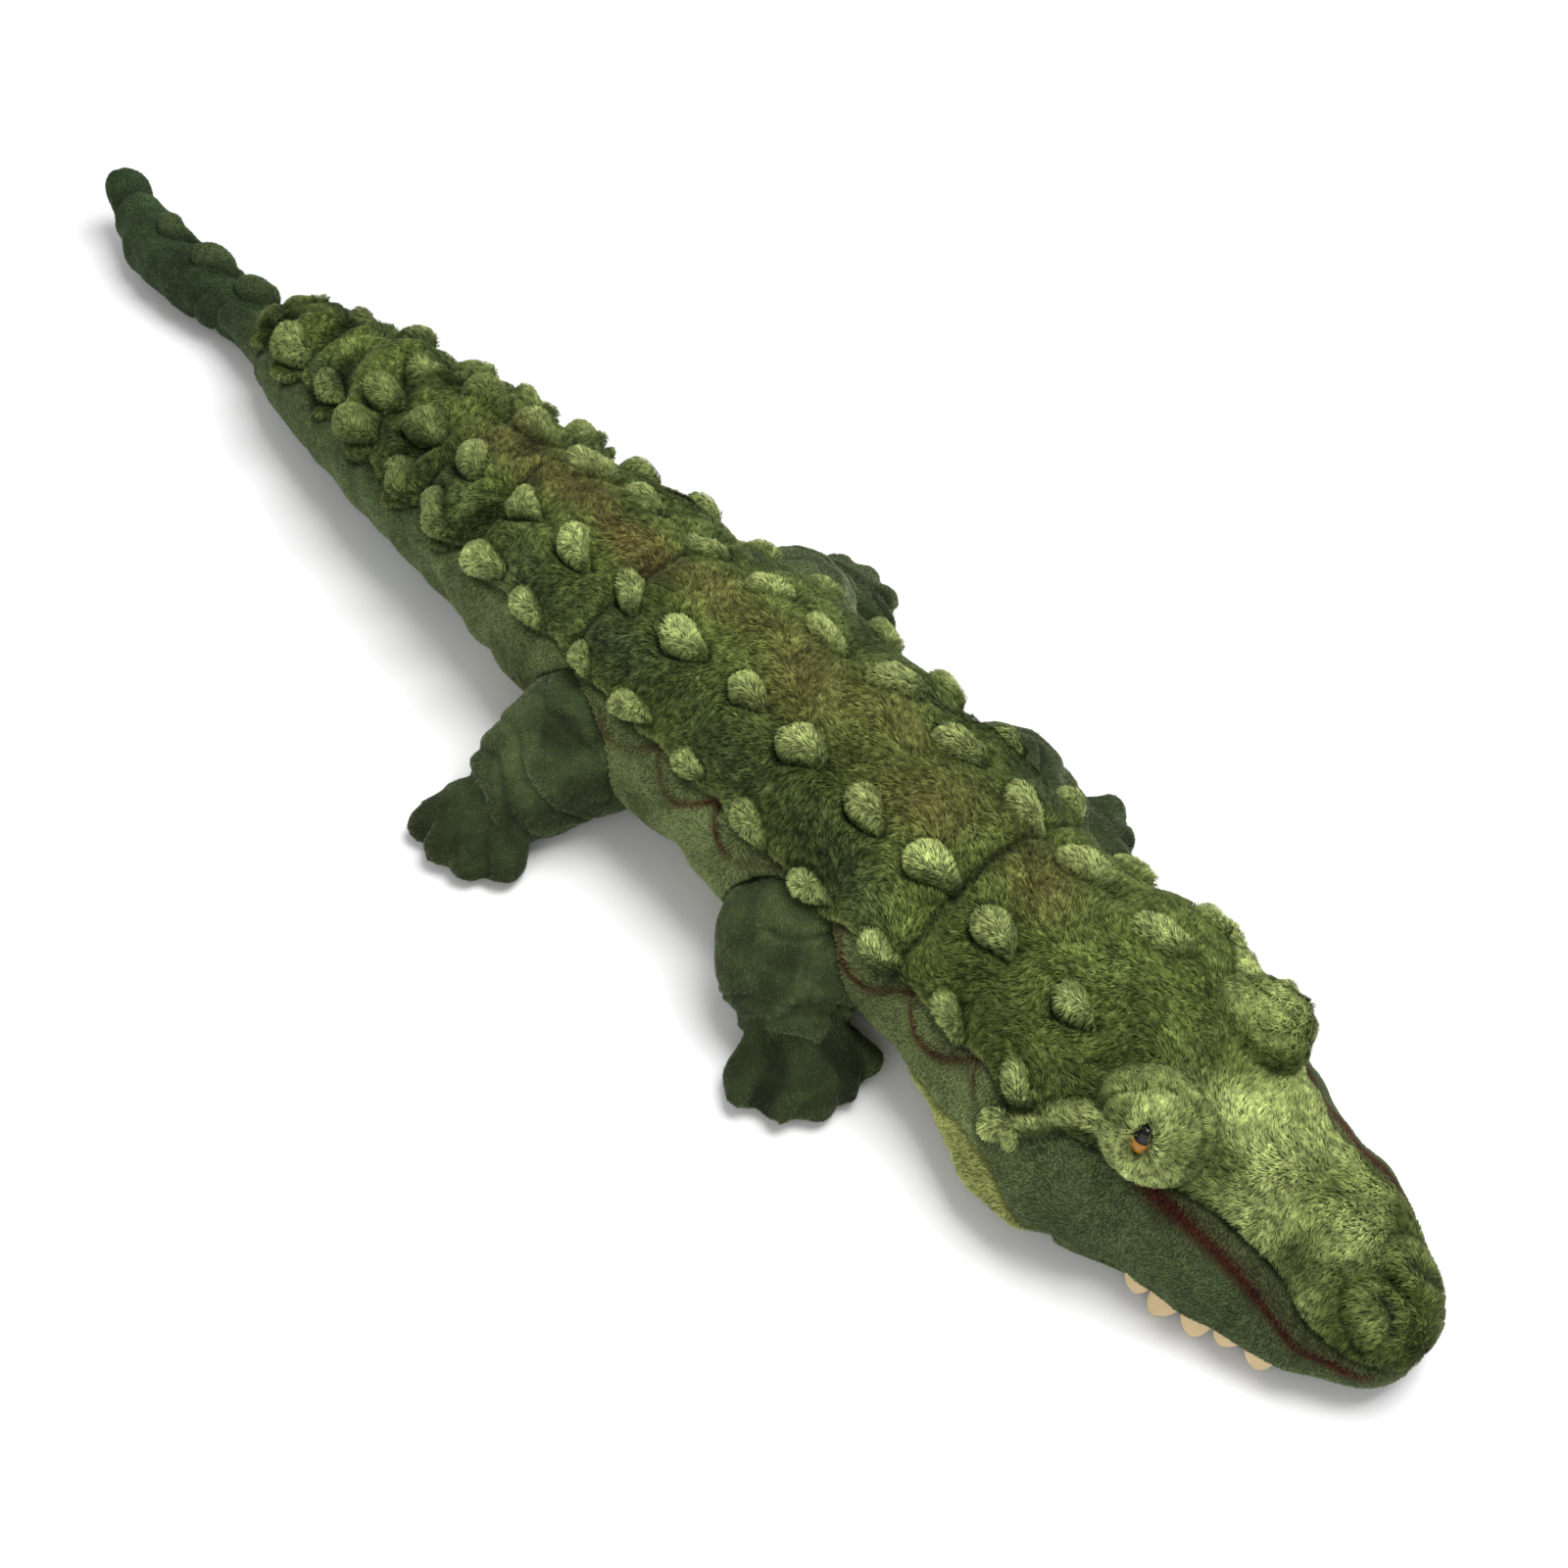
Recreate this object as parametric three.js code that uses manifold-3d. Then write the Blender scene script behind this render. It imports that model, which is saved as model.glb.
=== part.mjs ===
// A plush crocodile that lies on its belly: panels of pile fabric sewn round stuffed cores.
// Sizes are in millimetres. +X runs to the snout, +Y to the animal's left and +Z up. The belly lies at z 0.
import * as THREE from 'three';
import { mergeVertices } from 'three/addons/utils/BufferGeometryUtils.js';
import Module from 'manifold-3d';

const wasm = await Module();
wasm.setup();

// Sewing: the gap left at every seam, the thickness of each fabric, and how far the back stands over the flanks
const seam_gap = 0.3;
const panel_slit = 0.5;
const flank_pile = 4;
const back_pile = 5.5;
const back_proud = 1.5;
const felt = 2;
const lining = 1.5;
const rest_flat = 0.5;
const overrun = 10;

// Lengths along the body, from the middle of the belly
const shoulder_reach = 165;
const rump_reach = 180;
const tail_root_length = 120;
const tail_mid_length = 104;
const tail_tip_length = 178;
const head_length = 194;

// Half widths and heights of the stuffed forms
const belly_half_width = 69;
const belly_waist = 45;
const belly_height = 103;
const jowl_half_width = 78;
const jowl_waist = 25;
const jowl_height = 90;
const tip_half_width = 17;
const tip_waist = 18;
const tip_height = 37;
const tip_solid = 14;

// How far each seam lets the next piece swing
const neck_swing = THREE.MathUtils.degToRad(15);
const tail_root_swing = THREE.MathUtils.degToRad(15);
const tail_mid_swing = THREE.MathUtils.degToRad(20);
const tail_tip_swing = THREE.MathUtils.degToRad(25);
const ankle_swing = THREE.MathUtils.degToRad(40);

// Limbs
const thigh_radius = 33;
const thigh_clearance = 2.5;
const thigh_open = THREE.MathUtils.degToRad(65);
const ankle_radius = 14;
const toe_reach = 44;
const toe_fan = THREE.MathUtils.degToRad(26);
const toe_width = THREE.MathUtils.degToRad(16);
const front_hip_setback = 91;
const front_hip_out = 62;
const front_limb_forward = 21;
const front_limb_outward = 21;
const front_heading = THREE.MathUtils.degToRad(-24);
const front_toes = 5;
const rear_hip_setback = 110;
const rear_hip_out = 60;
const rear_limb_forward = -11;
const rear_limb_outward = 40;
const rear_heading = THREE.MathUtils.degToRad(-76);
const rear_toes = 4;
const front_limb = {
  name: 'front',
  along: shoulder_reach - front_hip_setback,
  out: front_hip_out,
  forward: front_limb_forward,
  outward: front_limb_outward,
  heading: front_heading,
  toes: front_toes,
};
const rear_limb = {
  name: 'rear',
  along: rear_hip_setback - rump_reach,
  out: rear_hip_out,
  forward: rear_limb_forward,
  outward: rear_limb_outward,
  heading: rear_heading,
  toes: rear_toes,
};

// Mouth
const mouth_corner = 70;
const lip_height = 9.8;
const jaw_height = 9.3;
const jaw_inset = 8.5;
const jaw_front_inset = 3.5;
const jaw_setback = 7;
const jaw_front_reach = 34;
const snout_solid = 8;
const jaw_base = 3;
const mouth_gap = 5;
const tooth_root = 1.5;
const tooth_length = 7;
const tooth_pitch = 12.5;
const tooth_count = 5;
const tooth_splay = 3;
const teeth_setback = 26;
const lower_tooth_length = 5.5;
const lower_teeth_inset = 8;

// Eyes, ears and nostrils
const mound_along = 77;
const mound_out = 35;
const mound_height = 76;
const mound_half_length = 23;
const mound_half_width = 20;
const mound_half_height = 22;
const eye_radius = 7.5;
const eye_proud = 1;
const eye_look = new THREE.Vector3(0.22, 0.8, 0.56).normalize();
const stem_radius = 2;
const stem_length = 6;
const washer_radius = 6;
const washer_thickness = 1.6;
const washer_depth = 1.5;
const ear_along = 34;
const ear_angle = THREE.MathUtils.degToRad(67);
const ear_half_length = 11;
const ear_half_thickness = 7;
const ear_half_height = 13;
const nostril_setback = 20;
const nostril_out = 14;
const nostril_half_length = 9;
const nostril_half_width = 8;
const nostril_half_height = 5;
const nostril_sink = 1;

// Scutes, which are tufts pinched up out of the back panel in rows
const scute_pitch = 39;
const scute_start = 0;
const scute_stagger = -4;
const scute_half_length = 12.5;
const scute_half_width = 9;
const scute_height = 8;
const scute_sink = 2.5;
const scute_margin = 1.5;
const crest_pitch = 38;
const crest_count = 3;
const crest_start = 28;
const crest_size = 0.75;
const inner_row_reach = 285;

const scute_size_share = 0.1;
const inner_row_share = 0.37;
const peak_share = 0.25;
const socket_room_share = 0.55;
const hip_room_share = 0.96;

// Facets
const socket_sides = 12;
const socket_steps = 8;
const ball_sides = 10;
const panel_steps = 4;
const flank_steps = 2;
const under_steps = 4;
const tail_under_steps = 6;
const dome_steps = 2;
const full_turn = 2 * Math.PI;
const dome_end = THREE.MathUtils.degToRad(78);
const skin_tuck = THREE.MathUtils.degToRad(4);
const tip_sides = 8;
const limb_sides = 8;
const heel_steps = 8;
const paw_core_sides = 10;
const nostril_sides = 6;
const socket_arc = THREE.MathUtils.degToRad(30);
const eye_sides = 8;
const tooth_columns = 3;
const jaw_sides = 8;
const jaw_steps = 5;
const jaw_corner_power = 1 / 3;
const jaw_heel_degrees = [-70, -35];
const eye_steps = 4;

// Shares of a form's own sizes, one row for each place along it, with the angles of the back panel's
// edge and of the belly seam in degrees from the top: along, half width, waist, height, back edge, belly seam
const torso_shares = [
  [0, 0.783, 0.98, 0.874, 56, 118],
  [0.087, 0.826, 1.02, 0.92, 57, 118],
  [0.232, 0.913, 1.04, 0.97, 57, 118],
  [0.377, 0.97, 1.02, 1, 56, 118],
  [0.522, 1, 1, 1, 56, 118],
  [0.667, 1, 0.98, 0.98, 57, 116],
  [0.812, 0.97, 0.93, 0.94, 60, 113],
  [0.9, 0.935, 0.89, 0.913, 61, 109],
  [1, 0.957, 0.8, 0.874, 58, 100],
];
const tail_shares = [
  [0, 1, 1, 1, 56, 118],
  [0.13, 0.95, 0.98, 0.96, 57, 118],
  [0.31, 0.9, 0.95, 0.9, 54, 118],
  [0.54, 0.8, 0.85, 0.81, 44, 118],
  [0.71, 0.69, 0.75, 0.73, 40, 118],
  [0.85, 0.57, 0.64, 0.64, 34, 118],
  [0.93, 0.47, 0.55, 0.56, 28, 118],
  [1, 0.33, 0.48, 0.48, 24, 118],
];
const head_shares = [
  [0.07, 0.9, 1.32, 1, 55, 97],
  [0.155, 0.968, 1.16, 0.989, 52, 97],
  [0.27, 1, 1, 0.956, 47, 100],
  [0.385, 0.923, 0.84, 0.889, 42, 106],
  [0.5, 0.795, 0.68, 0.789, 38, 118],
  [0.62, 0.718, 0.64, 0.689, 34, 118],
  [0.747, 0.628, 0.64, 0.606, 37, 118],
  [0.85, 0.526, 0.64, 0.544, 50, 118],
  [0.928, 0.397, 0.64, 0.489, 58, 118],
  [0.97, 0.282, 0.64, 0.422, 60, 118],
  [0.992, 0.167, 0.64, 0.344, 60, 118],
  [1, 0.09, 0.64, 0.27, 60, 118],
];
// The tail's tip, whose underside lifts towards its hooked end: along, half width, waist, top, underside
const tip_shares = [
  [0, 0.82, 1.2, 1.03, 0.16],
  [0.2, 0.88, 1.1, 1.03, 0.05],
  [0.43, 1, 1, 1, 0],
  [0.65, 1, 1, 1, 0],
  [0.82, 0.82, 1.2, 1.03, 0.14],
  [0.92, 0.59, 1.55, 1.08, 0.4],
  [0.98, 0.35, 1.75, 1.08, 0.62],
  [1, 0.15, 1.9, 1.02, 0.8],
];
// A thigh along its way to the ankle: along, radius
const thigh_shares = [
  [0, 1],
  [0.35, 0.94],
  [0.7, 0.75],
  [1, 0.55],
];
// The rings of a foot from its top down: degrees up the heel's ball, and the share of the reach and of the
// ball's radius where the ring has run out to the toes
const paw_shares = [
  [60, 0.18, 0.84],
  [12, 0.74, 0.5],
  [-35, 1, -0.25],
];
const sole_reach_share = 0.86;
const sole_heel_share = 0.4;
const toe_notch_share = 0.8;
// How far round the foot a ring runs out, from none to all, as cosines of the turn from its heading
const paw_front_share = [0.05, 0.55];
const paw_core_front_share = [0.35, 0.9];

const part = new THREE.Group();
const material = (color, roughness) => new THREE.MeshStandardMaterial({ color, roughness, metalness: 0 });
const back_plush = material(0x5f7f35, 0.95);
const flank_plush = material(0x3f5a3c, 0.95);
const limb_plush = material(0x33502f, 0.95);
const belly_plush = material(0x9aa35a, 0.95);
const stuffing = material(0xf2f0ea, 1);
const tooth_felt = material(0xe9cf97, 0.95);
const mouth_felt = material(0x4a1c18, 0.95);
const eye_plastic = material(0xb07a18, 0.15);
const washer_plastic = material(0xe8e8e2, 0.5);

// Adds one named piece to a group.
function piece(name, geometry, finish, parent = part) {
  const mesh = new THREE.Mesh(geometry, finish);
  mesh.name = name;
  parent.add(mesh);
}

// Closed geometry from flat lists of coordinates and corners, turned to face out.
function closed(points, corners) {
  let volume = 0;
  const corner = (k) => new THREE.Vector3().fromArray(points, 3 * corners[k]);
  for (let k = 0; k < corners.length; k += 3) volume += corner(k).dot(corner(k + 1).cross(corner(k + 2)));
  const geometry = new THREE.BufferGeometry();
  geometry.setAttribute('position', new THREE.Float32BufferAttribute(points, 3));
  geometry.setIndex(volume > 0 ? corners : [...corners].reverse());
  return geometry;
}

// Closed geometry as a solid for cutting and joining, and back again.
function solid(geometry) {
  const bare = geometry.clone();
  bare.deleteAttribute('normal');
  bare.deleteAttribute('uv');
  const merged = mergeVertices(bare);
  const vertProperties = new Float32Array(merged.attributes.position.array);
  const triVerts = new Uint32Array(merged.index.array);
  return new wasm.Manifold(new wasm.Mesh({ numProp: 3, vertProperties, triVerts }));
}
function surface(body) {
  const mesh = body.getMesh();
  const geometry = new THREE.BufferGeometry();
  geometry.setAttribute('position', new THREE.Float32BufferAttribute(mesh.vertProperties, 3));
  geometry.setIndex([...mesh.triVerts]);
  return geometry;
}
function cut(geometry, ...tools) {
  return surface(tools.reduce((body, tool) => body.subtract(solid(tool)), solid(geometry)));
}
function join(geometry, ...more) {
  return surface(more.reduce((body, other) => body.add(solid(other)), solid(geometry)));
}

// A box between two corners, for cutting.
function block(low, high) {
  const box = new THREE.BoxGeometry(high[0] - low[0], high[1] - low[1], high[2] - low[2]);
  return box.translate((high[0] + low[0]) / 2, (high[1] + low[1]) / 2, (high[2] + low[2]) / 2);
}

// A profile of radii and places along +Y, turned round +Y.
function lathe(profile, sides) {
  const points = profile.map(([radius, along]) => new THREE.Vector2(radius, along));
  return surface(solid(new THREE.LatheGeometry(points, sides)));
}

// A ball with a half size along each axis.
function ball(half, centre, sides = ball_sides) {
  return new THREE.SphereGeometry(1, sides, sides / 2).scale(...half).translate(...centre);
}

// A smooth curve through rows, read at a place given in the rows' first column.
function smooth(rows, place) {
  const last = rows.length - 1;
  let i = 0;
  while (i < last - 1 && place > rows[i + 1][0]) i += 1;
  const span = rows[i + 1][0] - rows[i][0];
  const u = Math.min(Math.max((place - rows[i][0]) / span, 0), 1);
  return rows[i].map((value, k) => {
    const slope = (n) => {
      const before = rows[Math.max(n - 1, 0)];
      const after = rows[Math.min(n + 1, last)];
      return (after[k] - before[k]) / (after[0] - before[0]) * span;
    };
    const pull = u * (1 - u) * ((1 - u) * slope(i) - u * slope(i + 1));
    return value + u * u * (3 - 2 * u) * (rows[i + 1][k] - value) + pull;
  });
}

// One cross-section of a stuffed form: a pair of half ellipses that meet at the waist.
function section(rows, place) {
  const [x, half, waist, top, bottom, edge, seam] = smooth(rows, place);
  const angle = THREE.MathUtils.degToRad;
  return { x, half, waist, top, bottom, tilt: 0, edge: angle(edge), seam: angle(seam) };
}

// Sections of a form between two places, evenly or closing up towards the second, and the domed sections
// that close it in a turning seam.
const even = (share) => share;
const closing = (share) => Math.sin(share * Math.PI / 2);
function sections(rows, from, to, count, spread = even) {
  return Array.from({ length: count + 1 }, (_, i) => section(rows, from + (to - from) * spread(i / count)));
}
function dome(rows, place, reach) {
  const steps = Array.from({ length: dome_steps }, (_, i) => (dome_steps - i) / dome_steps);
  return steps.map((share) => ({ ...section(rows, place), tilt: reach * share }));
}
function core_dome(rows, place, reach) {
  return [{ ...section(rows, place), tilt: Math.sign(reach) * dome_end }, ...dome(rows, place, reach)];
}

// A point on a section at an angle from its top, lifted off the form's surface.
function point(s, angle, lift) {
  const rise = Math.cos(angle) > 0 ? s.top - s.waist : s.waist - s.bottom;
  return [
    s.x + Math.sin(s.tilt) * (s.half + lift),
    Math.cos(s.tilt) * (s.half + lift) * Math.sin(angle),
    s.waist + Math.cos(s.tilt) * (rise + lift) * Math.cos(angle),
  ];
}

// A closed form through sections, each drawn as one loop with an even number of points. The walls of two
// panels that face each other over a seam are creased the same way if the loop's last side is turned.
function sweep(list, loop, turn_last = false) {
  const loops = list.map(loop);
  const count = loops[0].length;
  const corners = [];
  const quad = (a, b, c, d) => corners.push(a, b, c, a, c, d);
  for (let i = 0; i < list.length - 1; i++) {
    for (let k = 0; k < count; k++) {
      const next = (k + 1) % count;
      const corner = [i * count + k, i * count + next, (i + 1) * count + next, (i + 1) * count + k];
      if (turn_last && next === 0) corner.push(corner.shift());
      quad(...corner);
    }
  }
  const last = (list.length - 1) * count;
  for (let k = 0; k < count / 2 - 1; k++) {
    quad(count - 1 - k, count - 2 - k, k + 1, k);
    quad(last + k, last + k + 1, last + count - 2 - k, last + count - 1 - k);
  }
  return closed(loops.flat(2), corners);
}

// A whole stuffed form, and a panel of fabric over part of one.
function form(list, lift, sides) {
  const angles = Array.from({ length: sides }, (_, k) => full_turn * k / sides);
  return sweep(list, (s) => angles.map((angle) => point(s, angle, lift)));
}
function panel(list, span, steps, outer, inner) {
  return sweep(list, (s) => {
    const [from, to] = span(s).sort((a, b) => a - b);
    const angles = Array.from({ length: steps + 1 }, (_, k) => from + (to - from) * k / steps);
    const over = [...angles].reverse().map((angle) => point(s, angle, outer));
    return [...angles.map((angle) => point(s, angle, inner)), ...over];
  }, true);
}

// The filling under a form's panels, which meets the middle of each facet of theirs.
function seam_angles(s, seam, flank_count, under_count) {
  const arc = (from, to, count) => Array.from({ length: count }, (_, k) => from + (to - from) * k / count);
  return [
    ...arc(-s.edge, s.edge, panel_steps),
    ...arc(s.edge, seam(s), flank_count),
    ...arc(seam(s), full_turn - seam(s), under_count),
    ...arc(full_turn - seam(s), full_turn - s.edge, flank_count),
  ];
}
function filling(list, seam, flank_count, under_count, lift = -flank_pile - seam_gap) {
  const angles = (s) => seam_angles(s, seam, flank_count, under_count);
  return sweep(list, (s) => angles(s).map((angle) => point(s, angle, lift)));
}

// The same form over the panels, creased as their outer faces are, to cut what is sewn onto them.
function cover(list, seam, lift) {
  const angles = (s) => seam_angles(s, seam, flank_steps, under_steps).reverse();
  return sweep(list, (s) => angles(s).map((angle) => point(s, angle, lift)));
}

// The angle that a seam's half gap takes on a section.
const slit = (s) => panel_slit / 2 / s.half;
const back_span = (s) => [slit(s) - s.edge, s.edge - slit(s)];
const flank_span = (side) => (s) => [side * (s.edge + slit(s)), side * (s.seam - slit(s))];
const belly_span = (s) => [s.seam + slit(s), full_turn - s.seam - slit(s)];
const under_span = (s) => [s.edge + slit(s), full_turn - s.edge - slit(s)];
const back = (list) => panel(list, back_span, panel_steps, back_proud, back_proud - back_pile);

// The radius at which a hollow ball with facets of two angles clears a faceted ball that turns inside it.
function clear_of(radius, turn, step, share) {
  const snug = radius + seam_gap;
  return THREE.MathUtils.lerp(snug, snug / Math.cos(turn / 2) / Math.cos(step / 2), share);
}

// The hollow in which the domed end at a section turns, and where the piece before it must end.
function socket(rows, place, proud = back_proud) {
  const s = section(rows, place);
  const step = 2 * dome_end / socket_steps;
  const room = clear_of(s.half + proud, full_turn / socket_sides, step, socket_room_share) - s.half;
  const tilts = Array.from({ length: socket_steps + 1 }, (_, i) => ({ ...s, tilt: i * step - dome_end }));
  return form(tilts, room, socket_sides);
}
const rim = (rows, place, swing) => section(rows, place).half * Math.sin(swing);

// Cross-sections of the torso, tail, tip and head: x, half width, waist, top, underside, edge, seam
const torso_length = shoulder_reach + rump_reach;
const torso_rows = torso_shares.map(([a, half, waist, top, edge, seam]) => [
  a * torso_length - rump_reach, half * belly_half_width, waist * belly_waist, top * belly_height, -rest_flat,
  edge, seam,
]);
const rump = torso_rows[0];
const neck = torso_rows[torso_rows.length - 1];
const tail_length = tail_root_length + tail_mid_length;
const tail_rows = tail_shares.map(([a, half, waist, top, edge, seam]) => [
  -rump_reach - a * tail_length, half * rump[1], waist * rump[2], top * rump[3], 0, edge, seam,
]).reverse();
const head_rows = head_shares.map(([a, half, waist, top, edge, seam]) => [
  shoulder_reach + a * head_length, half * jowl_half_width, waist * jowl_waist, top * jowl_height, 0, edge, seam,
]);
head_rows.unshift([...neck.slice(0, 4), 0, ...neck.slice(5)]);
const tail_mid_x = -rump_reach - tail_root_length;
const tail_tip_x = tail_mid_x - tail_mid_length;
const tip_rows = tip_shares.map(([a, half, waist, top, bottom]) => [
  tail_tip_x - a * tail_tip_length, half * tip_half_width, waist * tip_waist, top * tip_height,
  bottom * tip_height, 0, 0,
]).reverse();

// One scute: a tuft with a pinched peak over a diamond foot, stood on a section at an angle from the top.
function scute(rows, place, angle, size) {
  const s = section(rows, place);
  const foot = new THREE.Vector3(...point(s, angle, back_proud));
  const out = new THREE.Vector3(...point(s, angle, back_proud + scute_height)).sub(foot).normalize();
  const side = new THREE.Vector3(0, out.z, -out.y);
  const along = new THREE.Vector3(1, 0, 0);
  const spot = (x, y, lift) => {
    const spot_out = foot.clone().addScaledVector(out, lift);
    spot_out.addScaledVector(side, y * scute_half_width * size);
    return spot_out.addScaledVector(along, x * scute_half_length * size).toArray();
  };
  const corners = [[1, 0], [0, 1], [-1, 0], [0, -1]].map(([x, y]) => spot(x, y, -scute_sink));
  const peak = spot(-peak_share, 0, scute_height * size);
  return closed([...corners, peak].flat(), [0, 1, 4, 1, 2, 4, 2, 3, 4, 3, 0, 4, 0, 2, 1, 0, 3, 2]);
}

// The scutes of a stretch of the back: outer rows on the panel's edges, and inner rows to the tail's root.
function scutes(rows, from, to) {
  const tufts = [];
  const row = (start, angle_of) => {
    const first = Math.ceil((from + scute_half_length - start) / scute_pitch);
    const last = Math.floor((to - scute_half_length - start) / scute_pitch);
    for (let n = first; n <= last; n++) {
      const place = start + n * scute_pitch;
      const s = section(rows, place);
      const size = Math.min(1, Math.sqrt(s.half / belly_half_width) + scute_size_share);
      const angle = angle_of(s, size);
      if (angle !== null) tufts.push(scute(rows, place, angle, size), scute(rows, place, -angle, size));
    }
  };
  row(scute_start, (s, size) => s.edge - (scute_half_width * size + scute_margin) / s.half);
  row(scute_start + scute_stagger, (s) => (s.x > -inner_row_reach ? s.edge * inner_row_share : null));
  return tufts;
}

// The torso: a stuffed core under a back panel, two flanks and a belly, hollowed for the neck, tail and thighs
const sides = [{ name: 'left', sign: 1 }, { name: 'right', sign: -1 }];
const torso_from = -rump_reach + rim(torso_rows, -rump_reach, tail_root_swing);
const torso_to = shoulder_reach - rim(torso_rows, shoulder_reach, neck_swing);
const torso_list = sections(torso_rows, torso_from, torso_to, 6);
const hip_height = thigh_radius + thigh_clearance;
const hip_room = clear_of(thigh_radius, full_turn / ball_sides, full_turn / ball_sides, hip_room_share);
const limbs = [front_limb, rear_limb].flatMap((limb) => sides.map((side) => ({ ...limb, side })));
const floor_cut = block([-torso_length, -torso_length, -overrun], [torso_length, torso_length, 0]);
const torso_sockets = [socket(torso_rows, shoulder_reach), socket(torso_rows, -rump_reach)];
const hip_sockets = limbs.map(({ along, side, out }) => {
  return ball([hip_room, hip_room, hip_room], [along, side.sign * out, hip_height]);
});
const torso_cuts = [...torso_sockets, ...hip_sockets, floor_cut];

const torso_core = filling(torso_list, (s) => s.seam, flank_steps, under_steps);
piece('torso_stuffing', cut(torso_core, ...torso_cuts), stuffing);
const torso_tufts = scutes(torso_rows, torso_from, torso_to);
piece('back_panel', cut(join(back(torso_list), ...torso_tufts), ...torso_sockets), back_plush);
const belly = panel(torso_list, belly_span, under_steps, 0, -flank_pile);
piece('belly_panel', cut(belly, ...torso_cuts), belly_plush);
for (const side of sides) {
  const flank = panel(torso_list, flank_span(side.sign), flank_steps, 0, -flank_pile);
  piece(`flank_${side.name}`, cut(flank, ...torso_cuts), flank_plush);
}

// The tail's root and middle: each a stuffed core in a skin with its own back panel, domed where it turns
function tail_piece(name, hub, swing, end, end_cut, steps) {
  const body = sections(tail_rows, end, hub, steps);
  const skin_list = [...body, ...dome(tail_rows, hub, 2 * swing + skin_tuck).reverse()];
  const core_list = [...body, ...core_dome(tail_rows, hub, 2 * swing + skin_tuck).reverse()];
  const tufts = scutes(tail_rows, end, hub - scute_half_length / 2);
  const core = filling(core_list, (s) => s.edge, 0, tail_under_steps);
  const under = panel(skin_list, under_span, tail_under_steps, 0, -flank_pile);
  piece(`${name}_stuffing`, cut(core, ...end_cut), stuffing);
  piece(`${name}_skin`, cut(under, ...end_cut), flank_plush);
  piece(`${name}_back`, cut(join(back(skin_list), ...tufts), ...end_cut), back_plush);
}
const root_end = tail_mid_x + rim(tail_rows, tail_mid_x, tail_mid_swing);
tail_piece('tail_root', -rump_reach, tail_root_swing, root_end, [socket(tail_rows, tail_mid_x)], 3);
const tip_hub = tip_rows[tip_rows.length - 1];
const tip_end = tail_tip_x + tip_hub[1] * Math.sin(tail_tip_swing);
tail_piece('tail_mid', tail_mid_x, tail_mid_swing, tip_end, [socket(tip_rows, tail_tip_x, 0)], 3);

// The tail's tip: one tube of skin with a crest of small tufts, round its own core
const tip_body = sections(tip_rows, tail_tip_x - tail_tip_length, tail_tip_x, 7);
const tip_dome = dome(tip_rows, tail_tip_x, dome_end).reverse();
const tip_open = (tip_hub[1] - flank_pile) * Math.sin(2 * tail_tip_swing + skin_tuck) + tail_tip_x;
const crest = Array.from({ length: crest_count }, (_, n) => {
  return scute(tip_rows, tail_tip_x - crest_start - n * crest_pitch, 0, crest_size);
});
const tip_core = sections(tip_rows, tail_tip_x - tail_tip_length + tip_solid, tail_tip_x, 5);
const tip_mouth_end = [tail_tip_x + tip_height, tip_height, 2 * tip_height];
const tip_mouth = block([tip_open, -tip_height, -tip_height], tip_mouth_end);
const tip_hollow = form([...tip_core, ...tip_dome], -flank_pile, tip_sides);
const tip_skin = join(form([...tip_body, ...tip_dome], 0, tip_sides), ...crest);
piece('tail_tip_stuffing', form([...tip_core, ...tip_dome], -flank_pile - seam_gap, tip_sides), stuffing);
piece('tail_tip_skin', cut(tip_skin, tip_hollow, tip_mouth), flank_plush);

// The head: a stuffed core under a top panel, two sides that hang as lips over the mouth, and a throat
const snout_x = shoulder_reach + head_length;
const hinge_x = shoulder_reach + mouth_corner;
const jaw_radius = jaw_height / 2;
const mouth_x = hinge_x - jaw_radius - seam_gap;
const head_reach = 2 * neck_swing + skin_tuck;
const nape = sections(head_rows, shoulder_reach, mouth_x, 3);
const snout = sections(head_rows, mouth_x, snout_x, 7, closing).slice(1);
const head_list = [...dome(head_rows, shoulder_reach, -head_reach), ...nape, ...snout];
const core_snout = snout.filter((s) => s.x < snout_x - snout_solid);
const head_core = [...core_dome(head_rows, shoulder_reach, -head_reach), ...nape, ...core_snout];
const lip_angle = (s) => Math.acos((lip_height - s.waist) / (s.waist - s.bottom));
const head_seam = (s) => (s.x > mouth_x + seam_gap ? lip_angle(s) : s.seam);
const side_span = (sign) => (s) => [sign * (s.edge + slit(s)), sign * (head_seam(s) - slit(s))];
const palate_height = jaw_height + seam_gap + lining + mouth_gap + lining + seam_gap;
const palate_cut = block([mouth_x, -jowl_half_width, -overrun], [snout_x, jowl_half_width, palate_height]);
const nostrils = sides.map((side) => {
  const s = section(head_rows, snout_x - nostril_setback);
  const centre = point(s, side.sign * Math.asin(nostril_out / s.half), back_proud - nostril_sink);
  return ball([nostril_half_length, nostril_half_width, nostril_half_height], centre, nostril_sides);
});
const head_tufts = scutes(head_rows, shoulder_reach, shoulder_reach + mound_along - mound_half_length);

piece('head_stuffing', cut(filling(head_core, head_seam, flank_steps, under_steps), palate_cut), stuffing);
const head_under = filling(head_list, head_seam, flank_steps, under_steps, -flank_pile - seam_gap / 2);
piece('head_top_panel', cut(join(back(head_list), ...head_tufts, ...nostrils), head_under), back_plush);
const throat_list = head_list.filter((s) => s.x <= mouth_x + seam_gap);
piece('throat_panel', panel(throat_list, belly_span, under_steps, 0, -flank_pile), belly_plush);

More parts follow.
